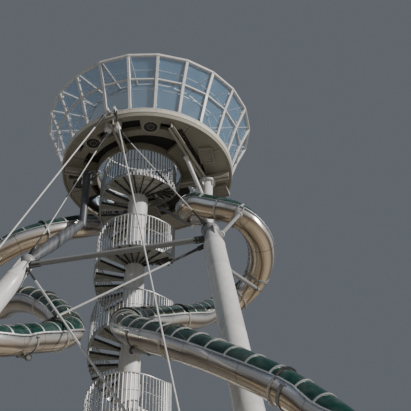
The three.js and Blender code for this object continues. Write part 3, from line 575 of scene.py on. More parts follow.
@cache
def painted_tube_reflections():
    """Painted reflections on a rolled stainless tube, from its own UVs: long warm bands of reflected ground,
    pale highlights, fine dark streaks that are partly polish grain and partly painted reflection, and dark
    lines reflected from joints.
    """
    tree, source, sink = new_group("painted_tube_reflections", {
        "Along and Round": None, "Ground Reflection": (0.55, 0.43, 0.3, 1), "Pale Highlight": (0.86, 0.86, 0.87, 1),
        "Dark": (0.13, 0.11, 0.1, 1), "Streaks": 0.5})
    place = source["Along and Round"]
    along, round_it = add_node(tree, "ShaderNodeSeparateXYZ", {0: place}).outputs[:2]
    wander = number(tree, "SUBTRACT", noise(tree, place, 0.7, 2.0), 0.5)
    reflection_bands = ramp(tree, number(tree, "ADD", round_it, product(tree, wander, 0.07)), REFLECTION_BANDS)
    lines = noise(tree, stretched(tree, place, (0.35, 46, 1)), 1.0, 6.0)
    tinted = mix(tree, 0.12, reflection_bands, source["Ground Reflection"], "MULTIPLY")
    lit = mix(tree, 0.03, tinted, source["Pale Highlight"])
    fine = product(tree, product(tree, number(tree, "SUBTRACT", lines, 0.52), 5.0, True), source["Streaks"])
    # Thin dark lines across the tube at each spacing: painted reflections of joints.
    turns = number(tree, "FRACT", product(tree, along, 1.0 / REFLECTED_JOINT_LINES["spacing"]))
    seams = product(tree, number(tree, "LESS_THAN", turns, REFLECTED_JOINT_LINES["share"]), REFLECTED_JOINT_LINES["strength"])
    streak = number(tree, "MAXIMUM", fine, seams)
    put(tree, sink["Colour"], mix(tree, streak, lit, source["Dark"]))
    put(tree, sink["Roughness"], number(tree, "ADD", product(tree, lines, 0.16), 0.12))
    put(tree, sink["Height"], lines)
    return tree


def new_material(name, **values):
    """A material with its shader's fixed values, and the shader's sockets to fill."""
    material = bpy.data.materials.new(name)
    material.use_nodes = True
    sockets = material.node_tree.nodes["Principled BSDF"].inputs
    for key, value in values.items():
        sockets[key.replace("_", " ")].default_value = value
    return material, material.node_tree, sockets


def grouped(name, group, place, links, relief, **values):
    """A material whose colour, roughness and relief come from a node group."""
    material, tree, sockets = new_material(name, **values)
    socket, source = place
    coords = add_node(tree, "ShaderNodeTexCoord").outputs[source]
    looks = add_node(tree, "ShaderNodeGroup", {socket: coords, **links}, node_tree=group).outputs
    strength, distance = relief
    bump = add_node(tree, "ShaderNodeBump",
                    {"Strength": strength, "Distance": distance, "Height": looks["Height"]})
    put(tree, sockets["Base Color"], looks["Colour"])
    put(tree, sockets["Roughness"], looks["Roughness"])
    put(tree, sockets["Normal"], bump.outputs[0])
    return material


def painted(name, shade, grime=0.3, rough=0.38, metal=0.0, grime_shade=(0.3, 0.28, 0.25, 1), coat=0.15):
    links = {"Colour": shade, "Grime": grime, "Roughness": rough, "Grime Colour": grime_shade}
    return grouped(name, weathering(), ("Vector", "Object"), links, (0.06, 0.004),
                   Metallic=metal, Coat_Weight=coat, Coat_Roughness=0.2)


def plated(name, light, dark, size=24.0, metal=0.75):
    links = {"Light": light, "Dark": dark, "Size": size}
    return grouped(name, spangle(), ("Vector", "Object"), links, (0.12, 0.003), Metallic=metal)


def stainless(name, streaks, metal):
    # Its colour is painted reflections and highlights, laid along the tube's UVs.
    return grouped(name, painted_tube_reflections(), ("Along and Round", "UV"), {"Streaks": streaks}, (0.05, 0.004),
                   Metallic=metal)


def clear_sheet(name, shade, alpha, rough, cloud):
    """Clear coloured sheet: mostly see-through, with dust and fine scratches in its surface."""
    material, tree, sockets = new_material(name, Coat_Weight=0.6, Coat_Roughness=0.05)
    dust = noise(tree, add_node(tree, "ShaderNodeTexCoord").outputs["Object"], 3.0, 6.0)
    haze = product(tree, number(tree, "SUBTRACT", dust, 0.4, True), cloud)
    put(tree, sockets["Base Color"], mix(tree, haze, shade, (0.75, 0.78, 0.76)))
    put(tree, sockets["Roughness"], number(tree, "ADD", haze, rough, True))
    put(tree, sockets["Alpha"], number(tree, "ADD", product(tree, haze, 0.5), alpha, True))
    return material


@cache
def material_of(finish):
    """The material of a finish, made when it is first asked for."""
    paint, slides = bpy.context.scene.tower_paint, bpy.context.scene.tower_slides
    build, *values = {
        "white_paint": (painted, paint.steel_colour[:], 0.34),
        "cream_paint": (painted, (0.6, 0.57, 0.5, 1), 0.45, 0.45),
        # Near-black paint for the struts and the left column: painted shade of the slide above them.
        "strut_painted_shade": (painted, (0.07, 0.078, 0.095, 1), 0.35, 0.45),
        # Dark grey paint for the tie, arms, brackets and imported solids, darker than their own paint:
        # partly painted shade under the slides and deck.
        "tie_paint_and_shade": (painted, (0.24, 0.245, 0.25, 1), 0.4, 0.45),
        "underside_paint": (painted, paint.underside_colour[:], 0.55, 0.6),
        "underside_light": (painted, (0.36, 0.34, 0.29, 1), 0.5, 0.55),
        # Near-black steel for forks, gaskets, collars and joints, also laid as painted shade inside the
        # ports and louvres and as the painted shadow beside a beam.
        "dark_steel_and_shade": (painted, (0.035, 0.036, 0.038, 1), 0.3, 0.5, 0.4),
        # Near-black paint for the deck floor seen through the cut-outs under the deck: painted shade of the
        # recesses.
        "deck_floor_painted_shade": (painted, (0.013, 0.013, 0.012, 1), 0.15, 0.75, 0.0, (0.05, 0.045, 0.04, 1)),
        "galvanised": (plated, (0.66, 0.67, 0.68, 1), (0.42, 0.43, 0.44, 1)),
        "tread_plate": (plated, (0.5, 0.49, 0.44, 1), (0.34, 0.335, 0.3, 1), 16.0, 0.25),
        "bright_edge": (plated, (0.82, 0.82, 0.82, 1), (0.62, 0.63, 0.64, 1), 30.0, 0.6),
        "aluminium": (plated, (0.86, 0.86, 0.85, 1), (0.7, 0.7, 0.7, 1), 60.0, 0.85),
        "bolt_steel": (plated, (0.6, 0.6, 0.6, 1), (0.35, 0.35, 0.36, 1), 80.0, 0.9),
        # Polished stainless whose colour is painted reflections and highlights.
        "polished_stainless": (stainless, 0.55, 0.7),
        "green_cover": (clear_sheet, slides.cover_colour[:], 0.7, 0.05, 0.3),
        "blue_glass": (clear_sheet, (0.26, 0.48, 0.75, 1), 0.14, 0.03, 0.2),
    }[finish]
    return build(finish, *values)


# Settings

class TowerPaint(bpy.types.PropertyGroup):
    """Colours of the painted steel."""
    steel_colour: bpy.props.FloatVectorProperty(
        name="Steel colour", description="Paint of the legs, mast and crown", subtype="COLOR",
        size=4, min=0, max=1, default=(0.66, 0.665, 0.67, 1))
    underside_colour: bpy.props.FloatVectorProperty(
        name="Underside colour", description="Paint of the plates and beams under the deck",
        subtype="COLOR", size=4, min=0, max=1, default=(0.25, 0.235, 0.19, 1))


class TowerStair(bpy.types.PropertyGroup):
    """Spacing of the stair's fine pieces."""
    bars_per_turn: bpy.props.IntProperty(
        name="Bars per turn", description="Upright bars in one turn of the railing",
        min=20, max=150, default=70)
    nosing_depth: bpy.props.FloatProperty(
        name="Nosing depth", description="Width of the bright edge of a tread", unit="LENGTH",
        min=0.01, max=0.1, default=0.045)


class TowerSlides(bpy.types.PropertyGroup):
    """Spacing and colour of the slides' pieces."""
    joint_spacing: bpy.props.FloatProperty(
        name="Joint spacing", description="Distance between bolted joints of the tube", unit="LENGTH",
        min=1, max=8, default=3.6)
    rib_spacing: bpy.props.FloatProperty(
        name="Rib spacing", description="Distance between the arched ribs of the cover", unit="LENGTH",
        min=0.2, max=3, default=0.62)
    cover_colour: bpy.props.FloatVectorProperty(
        name="Cover colour", description="Tint of the clear cover", subtype="COLOR", size=4,
        min=0, max=1, default=(0.004, 0.05, 0.04, 1))


class TowerStage(bpy.types.PropertyGroup):
    """Light and camera."""
    sun_strength: bpy.props.FloatProperty(
        name="Sun strength", description="Strength of the key light", min=0, max=20, default=4.4)
    focal_length: bpy.props.FloatProperty(
        name="Focal length", description="Lens of the camera", unit="CAMERA", min=10, max=400,
        default=1150 / 411 * SENSOR_WIDTH)


# Operators

class MastBuilder(bpy.types.Operator):
    """Builds the mast and its base plate with the anchor bolts"""
    bl_idname = "tower.mast"
    bl_label = "Mast"

    def execute(self, context):
        radius, top = BASE_PLATE
        bm = bmesh.new()
        lathe(bm, Matrix(), turned(MAST_RADIUS, top + SOLID_GAP, MAST_TOP, 0.02), 48)
        make_piece("mast_tube", bm, ("white_paint",), ("mast",))
        bm = bmesh.new()
        lathe(bm, Matrix(), turned(radius, 0, top, 0.005), 48)
        for k in range(BASE_BOLTS["count"]):
            angle, ring_radius = k * TURN / BASE_BOLTS["count"], BASE_BOLTS["ring"]
            block(bm, spun(angle) @ shift(ring_radius, 0, 0.1), (0.09, 0.09, 0.012), 1)
            foot = polar(ring_radius, angle, top)
            collars(bm, foot, UP, ((0, 0.11),), 0.024, 8, 1)
            collars(bm, foot, UP, ((0.05, 0.085),), 0.04, 6, 1)
        make_piece("mast_foot", bm, ("white_paint", "bolt_steel"), ("mast_base",))
        return {"FINISHED"}


def step_arc(step):
    """Where a step starts and how far it goes round; once a turn it is a long rest."""
    turns, place = divmod(step - REST["lowest"], RISERS_PER_TURN)
    start = REST["start"] + 360 * turns + (REST["span"] + (place - 1) * TREAD_SPAN if place else 0)
    span = TOP_LANDING_SPAN if step == RISERS else TREAD_SPAN if place else REST["span"]
    return math.radians(start), math.radians(span)


def flights():
    """The first and last step of each turn of the stair."""
    return list(zip(FLIGHT_STARTS, [start - 1 for start in FLIGHT_STARTS[1:]] + [RISERS - 1]))


def edge_line(first, last):
    """Angles and heights of the stair's edge: sloping over the treads, level over a rest."""
    line = []
    for step in range(first, last + 1):
        start, span = step_arc(step)
        line.append((start, (step - 0.5) * RISE))
        if span > 1:
            line += [(start + span * share, step * RISE) for share in (1 / 6, 5 / 6)]
    return line + [(step_arc(last + 1)[0], (last + 0.5) * RISE)]


def height_on(line, angle):
    for (a, low), (b, high) in zip(line, line[1:]):
        if angle <= b:
            return low + (high - low) * (angle - a) / (b - a)
    return line[-1][1]


class StairTreads(bpy.types.Operator):
    """Builds the treads and rests, one piece for each turn of the stair"""
    bl_idname = "tower.stair_treads"
    bl_label = "Stair treads"

    def execute(self, context):
        nosing = context.scene.tower_stair.nosing_depth
        for number, (first, last) in enumerate(flights(), 1):
            bm = bmesh.new()
            bottom = BASE_PLATE[1] + SOLID_GAP if number == 1 else (first - 1) * RISE + PART_GAP
            lathe(bm, Matrix(), ring(*SLEEVE_RADII, bottom, last * RISE), 40, 2)
            for step in range(first, last + 1):
                self.tread(bm, step, nosing, TREAD_RADIUS)
            if last == RISERS - 1:
                self.tread(bm, RISERS, nosing, TOP_LANDING_RADIUS)
            finishes = ("tread_plate", "bright_edge", "white_paint", "dark_steel_and_shade")
            make_piece(f"treads_turn_{number}", bm, finishes, (f"stair_flight_{number}",))
        return {"FINISHED"}

    @staticmethod
    def tread(bm, step, nosing, outer):
        """A folded tread: plate, deep front and back edges, stiffeners below and a bright nosing."""
        (start, span), top, inner = step_arc(step), step * RISE, MAST_RADIUS + 0.02
        parts = round(span / 0.17) if span > 0.4 else 1
        angles = [start + span * k / parts for k in range(parts + 1)]
        corners = [polar(outer, a, top) for a in angles] + [polar(inner, a, top) for a in reversed(angles)]
        slab(bm, corners, (0, 0, -TREAD_PLATE))
        middle, length = (inner + outer) / 2, outer - inner - 0.02
        ribs = round(span / 0.3) - 1
        edges = [(0.0, 0.016, 0.075, 1), (1.0, 0.028, 0.06, 3)]
        edges += [((k + 1) / (ribs + 1), 0.034, 0.05, 3) for k in range(ribs)]
        for share, width, depth, finish in edges:
            inset = {0.0: width / 2, 1.0: -width / 2}.get(share, 0.0)
            place = spun(start + share * span) @ shift(middle, inset, top - TREAD_PLATE - depth / 2)
            block(bm, place, (length, width, depth), finish)
        for radius in STIFFENER_RADII:
            section = ring(radius, radius + 0.035, top - 0.03, top - 0.011)
            lathe(bm, spun(start), section, max(2, round(span / 0.16)), 0, span)
        block(bm, spun(start) @ shift(middle, nosing / 2, top + 0.002), (length, nosing, 0.004), 1)


class StairRailings(bpy.types.Operator):
    """Builds the railings with their close upright bars"""
    bl_idname = "tower.stair_railings"
    bl_label = "Stair railings"

    def execute(self, context):
        pitch = TURN / context.scene.tower_stair.bars_per_turn
        for number, (first, last) in enumerate(flights(), 1):
            bm = bmesh.new()
            line = edge_line(first, last)
            start, end = line[0][0] + (0.06 if number == 1 else 0.001), line[-1][0]
            count = round((end - start) / 0.09)
            angles = [start + (end - start) * k / count for k in range(count + 1)]
            for radius, lift, section in (
                    (EDGE_RADIUS, -0.035, [(-0.007, -0.05), (0.007, -0.05), (0.007, 0.05), (-0.007, 0.05)]),
                    (HANDRAIL["radius"], HANDRAIL["height"], arc(0.026, 0, 330, 11)),
                    (EDGE_RADIUS, MIDDLE_RAIL_HEIGHT, arc(0.011, 0, 300, 5))):
                frames = []
                for angle in angles:
                    outward = polar(1, angle, 0)
                    at = polar(radius, angle, height_on(line, angle) + lift)
                    frames.append(axes(at, outward, UP, outward.cross(UP)))
                carry(bm, frames, section, angles)
            bars = int((end - start) / pitch)
            for k in range(bars + 1):
                angle = start + 0.02 + k * (end - start - 0.04) / bars
                z = height_on(line, angle)
                radius, segments = (0.023, 8) if k % 10 == 5 else (0.016, 6)
                rod(bm, polar(EDGE_RADIUS + 0.014, angle, z - 0.085), polar(EDGE_RADIUS, angle, z + 1.075),
                    radius, segments)
            make_piece(f"railing_turn_{number}", bm, ("galvanised",),
                       (f"stair_railing_{number}",))
        return {"FINISHED"}


def bolt_circle(bm, matrix, radius, count, size, finish):
    """Hexagon heads round a frame's Z."""
    for k in range(count):
        hex_head(bm, matrix @ Matrix.Translation(polar(radius, (k + 0.5) * TURN / count, 0)),
                 size, size * 1.2, finish)


class LegBuilder(bpy.types.Operator):
    """Builds the three legs: foot, tapered tube, node, strut and column"""
    bl_idname = "tower.legs"
    bl_label = "Legs"

    def execute(self, context):
        for name, leg in LEGS.items():
            self.foot(name, leg)
            self.lower(name, leg)
            self.upper(name, leg)
        self.bracket(NODE_BRACKET["leg"])
        return {"FINISHED"}

    @staticmethod
    def bracket(name):
        """An arm from a leg's node to the near side of the slide over it, with a clamp round the tube."""
        bm = bmesh.new()
        route = SLIDES[name]
        distance = route.low_at(NODE_BRACKET["slide_z"])
        start = Vector((*LEGS[name]["node"], NODE_Z)) + Vector(NODE_BRACKET["start"])
        tip = route.at(distance) + Vector(NODE_BRACKET["tip"])
        along = (tip - start).normalized()
        # The arm takes the dark tie paint, partly painted shade of the slide above it.
        rod(bm, start - along * 0.25, tip, 0.055, 20, 0)
        collars(bm, start, along, ((-0.05, 0.02),), 0.1, 20, 1)
        collars(bm, tip, along, ((-0.02, 0.05),), 0.1, 20, 1)
        hoops(bm, route, distance, ((-0.062, -0.038), (0.038, 0.062)), band(0.364, 0.405, 183, 357, 24))
        make_piece(f"{name}_node_bracket", bm, ("tie_paint_and_shade", "white_paint"))

    @staticmethod
    def foot(name, leg):
        bm = bmesh.new()
        place = shift(*leg["foot"], 0)
        lathe(bm, place, turned(FOOT_PLATE["radius"], 0, FOOT_PLATE["top"], 0.01), 56)
        bolt_circle(bm, place @ shift(0, 0, FOOT_PLATE["top"] + 0.025), FOOT_PLATE["bolt_ring"], 20, 0.04, 1)
        make_piece(f"{name}_leg_plate", bm, ("white_paint", "bolt_steel"),
                   (f"{name}_leg_foot",))

    def lower(self, name, leg):
        """The tapered tube with its weld seams and cone, cut level above its foot, and the node on it."""
        node, foot = Vector((*leg["node"], NODE_Z)), Vector((*leg["foot"], 0))
        length = (node - foot).length
        cone = length - CONE_LENGTH
        bottom, top, tip = LEG_RADII
        profile = [(0, -LEG_SUNK), (bottom, -LEG_SUNK)]
        seam = LEG_SEAMS["first"]
        while seam < cone - 1:
            radius = bottom + (top - bottom) * seam / cone
            profile += [(radius, seam - 0.012), (radius + 0.005, seam), (radius, seam + 0.012)]
            seam += LEG_SEAMS["spacing"]
        profile += [(top, cone - 0.03), (top + 0.008, cone - 0.015), (top, cone), (tip, length), (0, length)]
        bm, part = bmesh.new(), bmesh.new()
        lathe(part, facing(foot, node), profile, 56)
        bmesh.ops.bisect_plane(part, geom=part.verts[:] + part.edges[:] + part.faces[:],
                               plane_co=(0, 0, FOOT_PLATE["top"] + PART_GAP), plane_no=(0, 0, -1),
                               clear_outer=True)
        bmesh.ops.holes_fill(part, edges=part.edges, sides=0)
        merge(bm, part)
        # The node's ball and gussets take the dark tie paint, partly painted shade.
        ball(bm, node, BALL_RADIUS - 0.01, 32, 20, 1)
        for quarter in range(4):
            block(bm, facing(node, foot) @ spun(quarter * TURN / 4) @ shift(0.13, 0, 0.33),
                  (0.2, 0.03, 0.5), 1, 0.006)
        if name in SLIDES:
            self.arms(bm, name)
        finishes = ("white_paint", "tie_paint_and_shade", "bolt_steel", "dark_steel_and_shade")
        make_piece(f"{name}_leg_tube", bm, finishes, (f"{name}_lower_leg",))

    @staticmethod
    def arms(bm, name):
        """Round arms from the leg that pass under the tube, each with a post and a cradle."""
        route = SLIDES[name]
        for leg_z, slide_z in ARM_HEIGHTS[name]:
            distance = route.low_at(slide_z)
            at = route.at(distance)
            start, under = leg_axis(name, leg_z), at - Vector((0, 0, ARM_DROP))
            along = (under - start).normalized()
            stop = under + along * 0.24
            # Arms and posts take the dark tie paint, partly painted shade under the slide.
            rod(bm, start, stop, 0.057, 20, 1)
            collars(bm, stop, along, ((-0.04, 0),), 0.085, 20, 3)
            collars(bm, stop, along, ((-0.48, -0.44),), 0.075, 20, 3)
            rod(bm, under, at - Vector((0, 0, TUBE_RADIUS + 0.01)), 0.04, 12, 1)
            hoops(bm, route, distance, ((-0.035, 0.035),), band(0.364, 0.38, 186, 354, 20), 1)
            for angle in (190, 350):
                block(bm, route.frame(distance) @ spun(math.radians(angle)) @ shift(0.395, 0, 0),
                      (0.05, 0.03, 0.14), 2)

    @staticmethod
    def upper(name, leg):
        """The strut that swells in its middle, and the column from its top to the deck."""
        bm = bmesh.new()
        node, foot = Vector((*leg["node"], NODE_Z)), Vector((*leg["column"], COLUMN_FOOT_Z))
        length = (foot - node).length
        # The struts, and the left leg's column, take the near-black paint: painted shade of the slide above
        # them.
        slim, finish = (0.68, 2) if name == "left" else (1.0, 0)
        profile = [(0, STRUT_SHAPE[0][1] * length), *((r * slim ** 0.5, s * length) for r, s in STRUT_SHAPE),
                   (0, STRUT_SHAPE[-1][1] * length)]
        lathe(bm, facing(node, foot), profile, 48, 2)
        place, top, radius = shift(*leg["column"], 0), GIRDER_BOTTOM - SOLID_GAP, COLUMN_RADIUS * slim
        profile = [(0, COLUMN_FOOT_Z - 0.165), (0.7 * radius, COLUMN_FOOT_Z - 0.15),
                   (radius, COLUMN_FOOT_Z - 0.09), (radius, COLUMN_SEAM_Z - 0.01),
                   (radius + 0.006, COLUMN_SEAM_Z), (radius, COLUMN_SEAM_Z + 0.01), (radius, top - 0.07),
                   (COLUMN_FLANGE, top - 0.07), (COLUMN_FLANGE, top), (0, top)]
        lathe(bm, place, profile, 48, finish)
        bolt_circle(bm, place @ shift(0, 0, top - 0.085), 0.21, 12, 0.017, 1)
        for quarter in range(4):
            fin = place @ spun((quarter + 0.5) * TURN / 4) @ shift(0.195, 0, top - 0.15)
            block(bm, fin, (0.07, 0.015, 0.16), 0)
        make_piece(f"{name}_leg_strut", bm, ("white_paint", "bolt_steel", "strut_painted_shade"),
                   (f"{name}_upper_leg",))


def cad_ends(node):
    """The two ends of a straight CAD rod, on the line along which its corners spread furthest."""
    corners = [v.co.copy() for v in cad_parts[node].data.vertices]
    centre = sum(corners, Vector()) / len(corners)
    arms = [c - centre for c in corners]
    direction = max(arms, key=lambda arm: arm.length).normalized()
    for _ in range(6):
        direction = sum((arm * arm.dot(direction) for arm in arms), Vector()).normalized()
    reach = [arm.dot(direction) for arm in arms]
    return centre + direction * min(reach), centre + direction * max(reach)


class BracingBuilder(bpy.types.Operator):
    """Builds the tie and the rods with their forks, pins and turnbuckles"""
    bl_idname = "tower.bracing"
    bl_label = "Bracing"

    def execute(self, context):
        for name, (radius, taper) in ROD_SHAPES.items():
            self.tension_rod(name, radius, taper)
        self.tie()
        return {"FINISHED"}

    def tension_rod(self, name, radius, taper):
        bm = bmesh.new()
        low, high = sorted(cad_ends(name), key=lambda p: p.z)
        along = (high - low).normalized()
        rod(bm, low, high, radius, 16, 0)
        for tip, inward in ((low, along), (high, -along)):
            self.fork(bm, tip, inward, 1.0)
            rod(bm, tip + inward * 0.25, tip + inward * (0.25 + taper), 0.034, 16, 1, radius)
        collars(bm, low + along * 2.2, along, ((0, 0.5),), 1.5 * radius, 16, 1)
        collars(bm, low + along * 2.2, along, ((-0.07, -0.01), (0.51, 0.57)), 1.7 * radius, 6, 1)
        make_piece(f"{name}_dressed", bm, ("white_paint", "dark_steel_and_shade"), (name,))

    def tie(self):
        bm = bmesh.new()
        left, right = sorted(cad_ends("main_tie"), key=lambda p: p.x)
        along = (right - left).normalized()
        # The tie takes the dark tie paint, partly painted shade under the deck.
        rod(bm, left, right, 0.075, 28, 0)
        for share in (0.945, 0.962):
            collars(bm, left.lerp(right, share), along, ((0, 0.04),), 0.092, 24, 1)
        rod(bm, left.lerp(right, 0.962), right, 0.078, 24, 1)
        for tip, inward in ((left, along), (right, -along)):
            self.fork(bm, tip, inward, 1.5)
        make_piece("main_tie_dressed", bm, ("tie_paint_and_shade", "dark_steel_and_shade"), ("main_tie",))

    @staticmethod
    def fork(bm, tip, inward, scale):
        """Two cheeks with a pin between them, and the socket that the rod runs into."""
        place = facing(tip, tip + inward)
        for side in (-1, 1):
            block(bm, place @ shift(0.032 * side * scale, 0, 0.11 * scale),
                  (0.018 * scale, 0.1 * scale, 0.22 * scale), 1, 0.004)
        rod(bm, place @ Vector((-0.055 * scale, 0, 0.05)), place @ Vector((0.055 * scale, 0, 0.05)),
            0.026 * scale, 12, 1)
        rod(bm, place @ Vector((0, 0, 0.2 * scale)), place @ Vector((0, 0, 0.32 * scale)),
            0.046 * scale, 16, 1, 0.036 * scale)


def crown_point(level, bay, inset=0.0):
    radius, z = CROWN_LEVELS[level]
    return polar(radius - inset, CROWN_PHASE + bay * TURN / BAYS, z, CROWN_CENTRE)


def beam(bm, start, end, width, height, finish=0, bevel=0.0):
    """A straight bar with its height as near upright as its slope lets it."""
    along = (end - start).normalized()
    side = along.cross(UP).normalized()
    place = axes((start + end) / 2, side, along.cross(side), along)
    block(bm, place, (width, height, (end - start).length), finish, bevel)


class CrownBuilder(bpy.types.Operator):
    """Builds the crown's posts, rails, handrail and panes"""
    bl_idname = "tower.crown"
    bl_label = "Crown"

    def execute(self, context):
        bm = bmesh.new()
        for bay in range(BAYS):
            self.bay(bm, bay)
        make_piece("crown_posts_and_rails", bm, ("white_paint", "aluminium"), ("crown_frame",))
        for low, name in enumerate(("lower", "upper")):
            bm = bmesh.new()
            for bay in range(BAYS):
                self.pane(bm, bay, low, low + 1)
            make_piece(f"crown_panes_{name}", bm, ("blue_glass", "aluminium"),
                       (f"crown_glass_{name}",))
        return {"FINISHED"}

    @staticmethod
    def bay(bm, bay):
        """A post with its shoe, its stretch of the two rails, and the handrail behind it."""
        foot, middle, top = (crown_point(level, bay) for level in range(3))
        for a, b in ((foot.lerp(middle, 0.048), middle), (middle, top)):
            beam(bm, a, b, 0.085, 0.066, 0, 0.006)
        shoe = Matrix.Translation(CROWN_CENTRE) @ spun(CROWN_PHASE + bay * TURN / BAYS)
        block(bm, shoe @ shift(DECK_RADIUS + 0.03, 0, FASCIA["top"] + 0.007), (0.12, 0.13, 0.012), 0)
        for side in (-0.033, 0.033):
            block(bm, shoe @ shift(DECK_RADIUS + 0.04, side, FASCIA["top"] + 0.06), (0.08, 0.01, 0.1), 0)
        for level, size, height in ((1, 0.05, 0.055), (2, 0.075, 0.08)):
            beam(bm, crown_point(level, bay), crown_point(level, bay + 1), size, height, 0, 0.005)
        start, end = (
            polar(CROWN_HANDRAIL["radius"], CROWN_PHASE + b * TURN / BAYS, CROWN_HANDRAIL["z"], CROWN_CENTRE)
            for b in (bay, bay + 1))
        rod(bm, start, end, 0.021, 10, 1)
        rod(bm, start - 0.01 * UP, crown_point(1, bay, 0.03), 0.011, 6, 1)

    @staticmethod
    def pane(bm, bay, low, high):
        """A sheet behind the posts of one bay, with four clips."""
        corners = []
        for share, across in ((0.05 + 0.01 * low, (0.035, 0.965)), (0.95, (0.965, 0.035))):
            near, far = (crown_point(low, b, PANE_INSET).lerp(crown_point(high, b, PANE_INSET), share)
                         for b in (bay, bay + 1))
            corners += [near.lerp(far, place) for place in across]
        a, b, c, d = corners
        inward = (c - a).cross(d - b).normalized()
        if inward.dot(Vector((a.x - CROWN_CENTRE.x, a.y, 0))) > 0:
            inward.negate()
        slab(bm, corners, inward * PANE_THICKNESS)
        for start, end in ((a, d), (b, c)):
            for share in (0.2, 0.8):
                spot = start.lerp(end, share)
                block(bm, facing(spot, spot + inward), (0.06, 0.05, 0.03), 1)


class CanopyBuilder(bpy.types.Operator):
    """Builds the glazed ring over the crown"""
    bl_idname = "tower.canopy"
    bl_label = "Canopy"

    def execute(self, context):
        bm, panes = bmesh.new(), bmesh.new()
        height = CANOPY["z"]
        for bay in range(BAYS):
            outer, inner, middle = (
                [polar(radius, CROWN_PHASE + b * TURN / BAYS, z, CROWN_CENTRE) for b in (bay, bay + 1)]
                for radius, z in (
                    (CANOPY["outer"], height), (CANOPY["inner"], height), (CANOPY["purlin"], height - 0.02)))
            beam(bm, outer[0], inner[0], 0.085, 0.05, 0, 0.005)
            beam(bm, inner[0], inner[1], 0.09, 0.05, 0, 0.005)
            rod(bm, *middle, 0.014, 8)
            top = CROWN_CENTRE + UP * (height + 0.029)
            corners = [side[0].lerp(side[1], share) + 0.029 * UP
                       for side, share in ((outer, 0.04), (outer, 0.96), (inner, 0.96), (inner, 0.04))]
            slab(panes, [corner.lerp(top, 0.02) for corner in corners], (0, 0, PANE_THICKNESS))
        make_piece("canopy_beams", bm, ("white_paint",), ("canopy_frame",))
        make_piece("canopy_panes", panes, ("blue_glass",), ("canopy_glass",))
        return {"FINISHED"}


